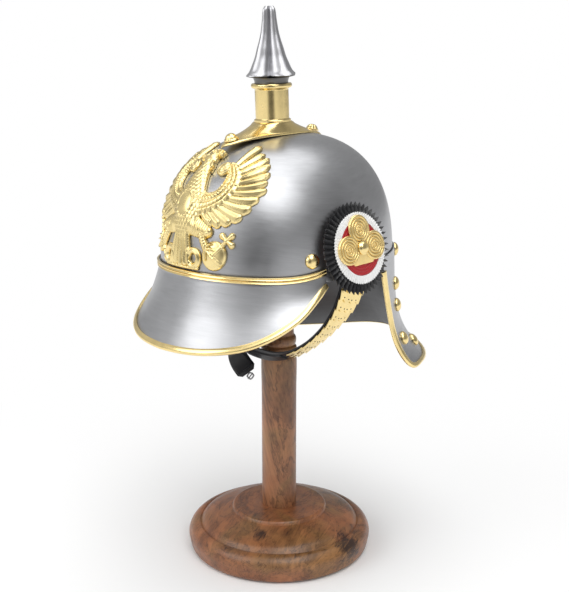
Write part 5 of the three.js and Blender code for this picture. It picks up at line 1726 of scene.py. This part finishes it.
@dataclass
class Eagle(Relief):
    """The brass eagle on the front of the shell, with a bare breast and ribbon."""

    back: float = 0.45
    wall: float = 1.5
    feather_rise: float = 1.5
    longest_half: float = 6.0

    def build(self) -> None:
        """Draws the relief and lays it on the shell."""
        for sign in (1, -1):
            self.feathers(sign)
            self.arm(sign)
            self.thigh(sign)
        self.tail()
        self.breast()
        self.head()
        self.orb()
        self.sceptre()
        self.foot()
        self.lay()

    def feathers(self, sign: int) -> None:
        """The wing's long feathers, each with a shaft and fine barbs.

        Args:
            sign: side of the middle.
        """
        # Across and up of each feather's root, and of its tip
        rows = (
            (31, 109, 32.5, 137), (36, 105, 46, 124.5), (40.5, 100.5, 57, 117), (43.5, 95.5, 64, 108.5),
            (45.5, 90.5, 70.5, 98), (46.5, 86, 73, 89.5), (46.5, 81.5, 76, 82), (44.5, 76.5, 72.5, 74),
            (41.5, 72, 68.5, 65.5), (37.5, 68.5, 62, 58), (32.5, 66, 52.5, 54.3), (27.5, 64, 43, 53),
            (22, 62, 33.5, 55),
        )
        table = np.array(rows, float)
        apart = np.linalg.norm(np.diff(table, axis=0).reshape(-1, 2, 2), axis=2) / 2
        halves = np.concatenate([apart[:1], (apart[:-1] + apart[1:]) / 2, apart[-1:]])
        for number, (ax, ay, bx, by) in enumerate(rows):
            root_half, tip_half = halves[number] * 1.06
            tip_half = min(tip_half, self.longest_half)
            dx, dy = bx - ax, by - ay
            size = math.hypot(dx, dy)
            nx, ny = dy / size, -dx / size
            ends = [
                Mark(ax - dx * 0.12, ay - dy * 0.12, root_half),
                Mark(ax + dx * 0.4 + nx, ay + dy * 0.4 + ny, root_half * 0.6 + tip_half * 0.4),
                Mark(ax + dx * 0.78 + nx * 0.7, ay + dy * 0.78 + ny * 0.7,
                     root_half * 0.22 + tip_half * 0.78),
                Mark(bx - dx / size * tip_half * 0.75, by - dy / size * tip_half * 0.75, tip_half * 0.74),
            ]
            line = mirror(curve(ends, 5), sign)
            away, _, along, width = self.near(line)
            share = np.clip(away / width, 0, 1)
            low, crest = self.wall * 0.75, self.wall + self.feather_rise - 0.18 * (number % 2)
            form = low + (crest - low) * (1 - share ** 2.2)
            form += 0.45 * soft_line(away, 0.55)
            form += 0.17 * np.sin((along - away * 1.1) * TURN / 1.7) * np.clip(share * 3, 0, 1)
            self.raise_to(away - width, form)

    def arm(self, sign: int) -> None:
        """The wing's arm, with its bands, beads and two rows of short feathers.

        Args:
            sign: side of the middle.
        """
        # Across and up of the arm's upper edge, and of its lower edge
        rows = (
            (8, 84, 12, 57), (15, 80.5, 22, 61), (21.5, 80.5, 33, 66), (27, 84, 42.5, 73),
            (29.5, 90, 47, 83), (29.5, 96.5, 44.5, 94), (27.5, 102.5, 37, 104), (25.5, 107, 30, 110),
        )
        marks = [Mark((a + c) / 2, (b + d) / 2, math.hypot(c - a, d - b) / 2) for a, b, c, d in rows]
        line = mirror(curve(marks, 6), sign)
        away, side, along, half = self.near(line)
        outward = -side * sign * away / half
        share = np.clip(np.abs(outward), 0, 1)
        form = 2.3 + 1.8 * (1 - share ** 2)
        covert = np.abs(np.sin(along * math.pi / 4.6 + 0.4))
        form += 0.75 * covert ** 0.6 * np.clip((outward - 0.42) * 6, 0, 1)
        lesser = np.abs(np.sin(along * math.pi / 3.6 + 1.1))
        form += 0.55 * lesser ** 0.6 * np.clip((outward - 0.02) * 8, 0, 1) * (outward < 0.42)
        self.raise_to(away - half, form)
        within = (away < half).astype(float)
        for at in (-0.92, -0.7, -0.62, -0.14, -0.06, 0.42):
            self.carve(0.75 * within * soft_line((outward - at) * half, 0.38))
        for at, pitch, radius, tall in ((-0.38, 3.3, 1.25, 0.75), (-0.81, 1.9, 0.7, 0.45)):
            beads = bead(np.mod(along, pitch) - pitch / 2, (outward - at) * half, radius)
            self.tall += tall * beads * within
        away = self.knob(22 * sign, 105, 7.2, 4.0, 2.0)
        self.carve(0.7 * soft_line(away - 5.0, 0.5))
        for across, up in ((25.5, 97.0), (22.0, 103.5), (27.5, 91.0), (24.5, 107.5)):
            self.carve(1.2 * soft_line(self.away(across * sign, up), 0.9))

    def thigh(self, sign: int) -> None:
        """A leg: the feathered thigh, the shank and the toes.

        Args:
            sign: side of the middle.
        """
        thigh = mirror(curve((Mark(12, 52, 9), Mark(22, 49, 7.5), Mark(31, 46.8, 5.0)), 5), sign)
        away, side, along, half = self.bar(thigh, 5.0, 1.6)
        within = (away < half).astype(float)
        stripes = np.sin((along + away * side * 0.35) * TURN / 2.3)
        self.tall += 0.32 * stripes * within * np.clip(along / 6, 0, 1)
        shank = mirror(curve((Mark(24, 46, 4.4), Mark(28, 38, 3.6), Mark(33, 32, 4.6)), 5), sign)
        away, _, along, half = self.bar(shank, 4.2, 1.6)
        within = (away < half).astype(float)
        self.carve(0.5 * within * (np.sin(along * TURN / 2.6) > 0.45))
        for ex, ey, bend in ((40, 37, 1.5), (43, 32, 0.8), (42, 25.5, -0.6), (34, 23.5, -1.0)):
            toe = (Mark(33, 33, 1.9), Mark((33 + ex) / 2, (33 + ey) / 2 + bend, 1.7), Mark(ex, ey, 0.7))
            self.bar(mirror(curve(toe, 5), sign), 6.2 if sign > 0 else 4.6, 1.6)

    def tail(self) -> None:
        """The fanned tail with its shafts, and the scrolls on both sides of it."""
        for place in (-1, -0.5, 0.5, 1, 0):
            foot_up = 17.8 if place == 0 else 18.6 + abs(place)
            line = (Mark(place * 4.5, 50, 3.2), Mark(place * 8.5, 34, 3.4), Mark(place * 12.6, foot_up, 3.1))
            away, _, along, half = self.near(curve(line))
            share = np.clip(away / half, 0, 1)
            form = 1.5 + 2.2 * (1 - share ** 2) + 0.5 * soft_line(away, 0.6)
            form += 0.2 * np.sin((along - away * 1.2) * TURN / 1.9) * np.clip(share * 3, 0, 1)
            self.raise_to(away - half, form)
        for place in (-9.5, -3.3, 3.3, 9.5):
            dx, dy = np.abs(self.x - place), self.y - 16.6
            self.hole(np.maximum(dx + 0.55 * dy - 1.3, -dy - 0.4))
        for sign in (1, -1):
            cx, cy = 16.5 * sign, 23.9
            away = self.away(cx, cy)
            ring = np.abs(away - 6.6)
            self.raise_to(ring - 3.0, 1.3 + 2.3 * (1 - np.clip(ring / 3.0, 0, 1) ** 2))
            self.carve(0.55 * soft_line(away - 7.9, 0.45) * (away < 9.6))
            self.hole(away - 3.4)
            self.knob(cx - 4.6 * sign, cy + 6.4, 2.4, 3.9, 1.6)

    def breast(self) -> None:
        """The breast and neck, covered in small lapped feathers, and a bare oval in the middle."""
        trunk = curve((Mark(0, 41, 8.5), Mark(0, 50, 14), Mark(0, 60, 18.5), Mark(0, 72, 18.5),
                       Mark(0, 84, 13.5), Mark(-0.5, 96, 9.6), Mark(-0.5, 106, 7.6), Mark(-1, 113, 7.4)))
        away, _, _, half = self.near(trunk)
        share = np.clip(away / half, 0, 1)
        crest = np.interp(self.y, (41, 56, 68, 80, 100, 115), (3.6, 6.2, 7.0, 7.0, 6.0, 5.8))
        form = 2.2 + (crest - 2.2) * (1 - share ** 2.2)
        wide, high = 3.6, 3.3
        row = np.floor(self.y / high)
        fx = np.mod(self.x / wide + 0.5 * np.mod(row, 2), 1) - 0.5
        fy = np.mod(self.y / high, 1)
        scale = np.clip(1 - (2 * fx) ** 2 - 0.3 * fy, 0, 1) * (1 - fy * 0.65)
        self.raise_to(away - half, form + 0.65 * scale - 0.2)
        oval = np.hypot(self.x / 8.2, (self.y - 68) / 10.5)
        inside = np.clip((1.0 - oval) * 9, 0, 1)
        smooth = 6.4 + 0.9 * (1 - np.clip(oval, 0, 1) ** 2)
        self.tall = self.tall * (1 - inside) + smooth * inside
        self.tall += 0.6 * soft_line((oval - 1.06) * 8.5, 0.75) * (self.tall > 2)

    def head(self) -> None:
        """The head turned to the wearer's right, its beak and tongue, and the crown over it."""
        self.knob(-2.0, 114.2, 7.0, 6.6, 2.4)
        self.bar(curve((Mark(-6, 115.6, 3.0), Mark(-11, 115.8, 2.2), Mark(-15.2, 113.2, 0.8)), 5), 5.8, 1.6)
        self.bar(curve((Mark(-6, 112.0, 1.8), Mark(-10, 111.6, 1.2), Mark(-13, 111.0, 0.6)), 5), 4.2, 1.4)
        self.carve(1.1 * soft_line(self.away(-4.6, 115.6) - 1.5, 0.42))
        for shift in (0.0, 2.6, 5.2):
            lock = (Mark(3 + shift * 0.4, 112 - shift, 1.3), Mark(6.4 + shift * 0.3, 109 - shift, 1.2),
                    Mark(8.6, 105.4 - shift, 0.6))
            self.bar(curve(lock, 4), 5.0, 1.6)
        middle = -0.6
        away, _, along, _ = self.bar([Mark(middle - 8, 119.2, 1.5), Mark(middle + 8, 119.2, 1.5)], 4.6, 1.8)
        self.tall += 0.6 * bead(np.mod(along, 2.6) - 1.3, away, 0.9)
        for reach in (-1, -0.5, 0, 0.5, 1):
            arch = curve((Mark(middle + reach * 6.6, 120.4, 1.1), Mark(middle + reach * 8.4, 123.0, 1.15),
                          Mark(middle + reach * 4.4, 125.0, 1.0), Mark(middle, 125.6, 0.9)), 5)
            self.bar(arch, 4.3, 1.5)
        cap = np.maximum(np.abs(self.x - middle) - 8.0, np.abs(self.y - 122) - 2.6)
        self.raise_to(cap, 0 * self.x + 1.7)
        self.knob(middle, 126.2, 1.5, 4.4, 1.6)

    def orb(self) -> None:
        """The orb under the claw on the wearer's left, with its band and cross."""
        cx, cy, radius, lean = 40.5, 27.5, 12.6, 0.75
        away = self.knob(cx, cy, radius, 5.0, 1.5)
        c, s = math.cos(lean), math.sin(lean)
        u = (self.x - cx) * c + (self.y - cy) * s
        v = -(self.x - cx) * s + (self.y - cy) * c
        within = (away < radius - 0.4).astype(float)
        belt = np.abs(u - 0.012 * v ** 2)
        self.tall += 0.7 * within * np.clip(1.9 - belt, 0, 0.5) * 2
        self.tall += 0.6 * within * np.clip(1.4 - np.abs(v), 0, 0.5) * 2 * (u > 0)
        self.tall += 0.6 * bead(belt, np.mod(v, 4.2) - 2.1, 0.9) * within
        for a, b in (((46, 34.5), (56.3, 44.3)), ((46.6, 44.6), (57.2, 36.6))):
            ends = [Mark(*a, 2.9), Mark((a[0] + b[0]) / 2, (a[1] + b[1]) / 2, 1.7), Mark(*b, 3.0)]
            self.bar(curve(ends, 5), 3.7, 1.5)
        self.knob(51.4, 40.2, 2.1, 4.4, 2.0)

    def sceptre(self) -> None:
        """The sceptre under the claw on the wearer's right."""
        shaft = [Mark(-24, 17, 1.7), Mark(-33, 33, 1.7), Mark(-42, 47, 1.6), Mark(-46.5, 54, 1.6)]
        away, _, along, half = self.bar(shaft, 3.2, 1.4)
        self.carve(0.5 * (away < half) * (np.sin(along * TURN / 4.2) > 0.86))
        self.knob(-44.4, 50.6, 2.8, 3.8, 1.5)
        self.knob(-47.2, 55.6, 4.4, 4.2, 1.5)
        self.bar([Mark(-48.4, 57.5, 2.4), Mark(-50.6, 61.0, 0.9)], 3.6, 1.4)
        self.knob(-25.2, 19.2, 2.7, 3.6, 1.5)

    def foot(self) -> None:
        """The bar under the tail."""
        away, _, along, half = self.bar([Mark(-22, 15.6, 1.5), Mark(22, 15.6, 1.5)], 2.7, 1.4)
        self.carve(0.35 * (away < half) * (np.sin(along * TURN / 2.2) > 0.6))

    def lay(self) -> None:
        """Trims the grid to the drawing's edge and wraps it on the shell."""
        cell = self.cell
        inside = self.edge < 0.3 * cell
        kept = inside[:-1, :-1] & inside[1:, :-1] & inside[:-1, 1:] & inside[1:, 1:]
        touch = np.zeros(self.x.shape, int)
        for di in (0, 1):
            for dj in (0, 1):
                touch[di:di + kept.shape[0], dj:dj + kept.shape[1]] += kept
        slope_x, slope_y = np.gradient(self.edge, cell)
        steep = np.maximum(slope_x ** 2 + slope_y ** 2, 0.3)
        rim = (touch > 0) & (touch < 4)
        pull = np.where(rim, np.clip(self.edge, -0.8 * cell, 0.8 * cell), 0)
        x, y = self.x - pull * slope_x / steep, self.y - pull * slope_y / steep
        eased = np.clip(-self.edge / 0.9, 0, 1)
        tall = self.tall * (0.72 + 0.28 * np.sqrt(eased))
        tall = np.where(rim, np.maximum(tall * 0.85, 0.9), tall)
        used = touch > 0
        number = np.cumsum(used).reshape(used.shape) - 1
        top = self.on_dome(x[used], y[used], self.back + tall[used])
        bottom = self.on_dome(x[used], y[used], self.back + 0 * tall[used])
        i, j = np.nonzero(kept)
        quads = np.stack([number[i, j], number[i + 1, j], number[i + 1, j + 1], number[i, j + 1]], axis=-1)
        count = int(used.sum())
        edges: dict = {}
        for quad in quads.tolist():
            for a, b in zip(quad, quad[1:] + quad[:1]):
                if (b, a) in edges:
                    del edges[(b, a)]
                else:
                    edges[(a, b)] = True
        sides = [(b, a, a + count, b + count) for a, b in edges]
        faces = quads.tolist() + (quads[:, ::-1] + count).tolist() + sides
        Body().add(np.concatenate([top, bottom]), faces).worn("eagle_plate", RELIEF_BRASS, "eagle", crease=60)

    def on_dome(self, across: np.ndarray, up: np.ndarray, over: np.ndarray) -> np.ndarray:
        """Places on the shell under the flat self.

        Args:
            across: distances from the middle.
            up: lengths of arc up the front from the brow.
            over: heights over the shell.

        Returns:
            The points.
        """
        phi = np.linspace(0, math.pi / 2, 721)
        line = DOME.point(0.0, phi)
        walked = np.concatenate([[0], np.cumsum(np.linalg.norm(np.diff(line, axis=0), axis=1))])
        at = np.interp(up, walked, phi)
        reach = DOME.front * np.cos(at) ** (2 / DOME.front_power)
        theta = across / reach
        return DOME.point(theta, at) + (DOME.point(theta, at, 1.0) - DOME.point(theta, at)) * over[:, None]


# The studio


@dataclass(frozen=True)
class Card:
    """A soft patch of the studio's surroundings, as the polished metal mirrors it."""

    azimuth: float
    elevation: float
    wide: float
    level: float
    share: float = 1.0


@dataclass(frozen=True)
class Studio:
    """Floor, light and camera."""

    distance: float = 947.5
    eye_height: float = 485.3
    azimuth: float = 46.6
    heading: float = 46.28
    pitch: float = 0.24
    focal_px: float = 1028.8
    frame_height: int = 592
    sensor: float = 36.0
    floor_size: float = 12.0
    floor_lit: float = 0.1
    floor_white: float = 0.55
    floor_colour: tuple = (0.93, 0.93, 0.93)
    base_level: float = 0.44
    shade_from: float = 0.95
    shade_full: float = 1.25
    shade_azimuth: float = 41.0
    shade_half_width: float = 22.0
    shade_depth: float = 0.88

    def build(self) -> None:
        """Makes the floor, the light and the camera."""
        self.floor()
        self.surroundings()
        self.lamps()
        self.camera()

    def camera(self) -> None:
        """The camera at the photograph's place."""
        a, h, p = math.radians(self.azimuth), math.radians(self.heading), self.pitch
        data = bpy.data.cameras.new("camera")
        data.sensor_width = self.sensor
        data.lens = self.focal_px / self.frame_height * self.sensor
        data.clip_start, data.clip_end = 0.01, 60.0
        made = bpy.data.objects.new("camera", data)
        bpy.context.scene.collection.objects.link(made)
        ahead = Vector((-math.sin(h) * math.cos(p), math.cos(h) * math.cos(p), -math.sin(p)))
        right = Vector((math.cos(h), math.sin(h), 0))
        up = right.cross(ahead)
        turn = Matrix((right, up, -ahead)).transposed().to_4x4()
        eye = Vector((self.distance * math.sin(a), -self.distance * math.cos(a), self.eye_height)) * MM
        made.matrix_world = Matrix.Translation(eye) @ turn
        bpy.context.scene.camera = made

    def floor(self) -> None:
        """A plain pale floor."""
        half = self.floor_size / 2
        mesh = bpy.data.meshes.new("floor")
        corners = [(-half, -half, 0), (half, -half, 0), (half, half, 0), (-half, half, 0)]
        mesh.from_pydata(corners, [], [(0, 1, 2, 3)])
        material = bpy.data.materials.new("floor_white")
        material.use_nodes = True
        tree = Tree(material.node_tree)
        place = tree.place()
        reach = tree.vector("LENGTH", place)
        far = tree.spread(reach, self.floor_lit, self.floor_white, 0.0, 1.0, "SMOOTHSTEP")
        shaded = self.floor_shade(tree, place, reach)
        tree.surface({
            "Base Color": tree.ramp(far, ((0.0, self.floor_colour), (1.0, (0.0, 0.0, 0.0)))),
            "Roughness": 0.8,
            "Specular IOR Level": 0.0,
            "Emission Color": (1.0, 1.0, 1.0, 1.0),
            "Emission Strength": tree.math("MULTIPLY", far, tree.math("SUBTRACT", 1.0, shaded)),
        })
        mesh.materials.append(material)
        made = bpy.data.objects.new("floor", mesh)
        bpy.context.scene.collection.objects.link(made)

    def floor_shade(self, tree: Tree, place: Socket, reach: Socket) -> Socket:
        """Shade on the floor beyond the front quarter, which only the metal mirrors.

        Args:
            tree: the floor's tree.
            place: coordinates.
            reach: distance from the stand.

        Returns:
            0 where the floor is white, toward 1 where it is dark.
        """
        a = math.radians(self.shade_azimuth)
        facing = tree.vector("DOT_PRODUCT", tree.vector("NORMALIZE", place), (math.sin(a), -math.cos(a), 0.0))
        wide = math.radians(self.shade_half_width)
        wedge = tree.spread(facing, math.cos(wide * 1.25), math.cos(wide * 0.6), 0.0, self.shade_depth)
        beyond = tree.spread(reach, self.shade_from, self.shade_full, 0.0, 1.0)
        mirrored = tree.math("SUBTRACT", 1.0, tree.node("ShaderNodeLightPath").outputs["Is Camera Ray"])
        return tree.math("MULTIPLY", tree.math("MULTIPLY", wedge, beyond), mirrored)

    def surroundings(self) -> None:
        """White to the eye, and a studio of pale walls and dark cards to the metal."""
        # Azimuth, elevation and half width in degrees, brightness, and share of it in the middle
        cards = (
            Card(170, 10, 80, 0.35, 0.7),
            Card(112, 15, 38, 0.22, 0.8),
            Card(43, -3, 23, 0.05, 0.92),
            Card(43, 20, 19, 0.07, 0.85),
            Card(62, 60, 27, 2.1, 0.95),
            Card(95, 47, 13, 0.2, 0.6),
            Card(8, 28, 30, 0.95, 0.8),
            Card(-60, 30, 40, 0.7, 0.6),
            Card(0, 90, 30, 0.75, 0.8),
        )
        world = bpy.data.worlds.new("studio")
        bpy.context.scene.world = world
        world.use_nodes = True
        tree = Tree(world.node_tree)
        way = tree.node("ShaderNodeTexCoord").outputs["Generated"]
        level: Socket = self.base_level
        for card in cards:
            a, e = math.radians(card.azimuth), math.radians(card.elevation)
            to = (math.sin(a) * math.cos(e), -math.cos(a) * math.cos(e), math.sin(e))
            rim, core = math.cos(math.radians(card.wide)), math.cos(math.radians(card.wide * 0.35))
            fade = tree.spread(tree.vector("DOT_PRODUCT", way, to), rim, core, 0.0, card.share, "SMOOTHSTEP")
            level = tree.math("ADD", tree.math("MULTIPLY", level, tree.math("SUBTRACT", 1.0, fade)),
                              tree.math("MULTIPLY", fade, card.level))
        seen = tree.node("ShaderNodeLightPath").outputs["Is Camera Ray"]
        white = (1.0, 1.0, 1.0, 1.0)
        mirrored = tree.node("ShaderNodeBackground", {"Color": white, "Strength": level})
        plain = tree.node("ShaderNodeBackground", {"Color": white, "Strength": 1.0})
        mixed = tree.node("ShaderNodeMixShader", {0: seen, 1: mirrored.outputs[0], 2: plain.outputs[0]})
        tree.node("ShaderNodeOutputWorld", {"Surface": mixed.outputs[0]})

    def lamps(self) -> None:
        """Large soft lamps; the metal doesn't mirror the one at the side."""
        # Name, place in metres, size, power, and whether the metal mirrors it
        rows = (
            ("key", (-0.5, -1.7, 1.4), 1.5, 12.0, True),
            ("fill", (1.5, -0.6, 2.0), 1.5, 10.5, True),
            ("top", (0.0, 0.3, 2.4), 2.2, 18.0, True),
            ("side", (2.0, -1.2, 0.7), 1.2, 9.0, False),
        )
        for name, at, size, power, mirrored in rows:
            data = bpy.data.lights.new(name, "AREA")
            data.shape = "DISK"
            data.size, data.energy = size, power
            made = bpy.data.objects.new(name, data)
            bpy.context.scene.collection.objects.link(made)
            made.visible_glossy = mirrored
            made.location = at
            made.rotation_mode = "QUATERNION"
            made.rotation_quaternion = (Vector((0, 0, 0.3)) - Vector(at)).to_track_quat("-Z", "Y")


def main() -> None:
    """Builds every part of the model in order."""
    logging.basicConfig(level=logging.INFO, format="%(name)s: %(message)s")
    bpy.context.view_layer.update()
    bpy.context.scene.view_settings.view_transform = "Standard"
    Studio().build()
    Stand().build()
    Shell().build()
    Crown().build()
    Eagle().build()
    ChinStrap().build()
    for side in Side:
        Rosette(side).build()


if __name__ == "__main__":
    main()
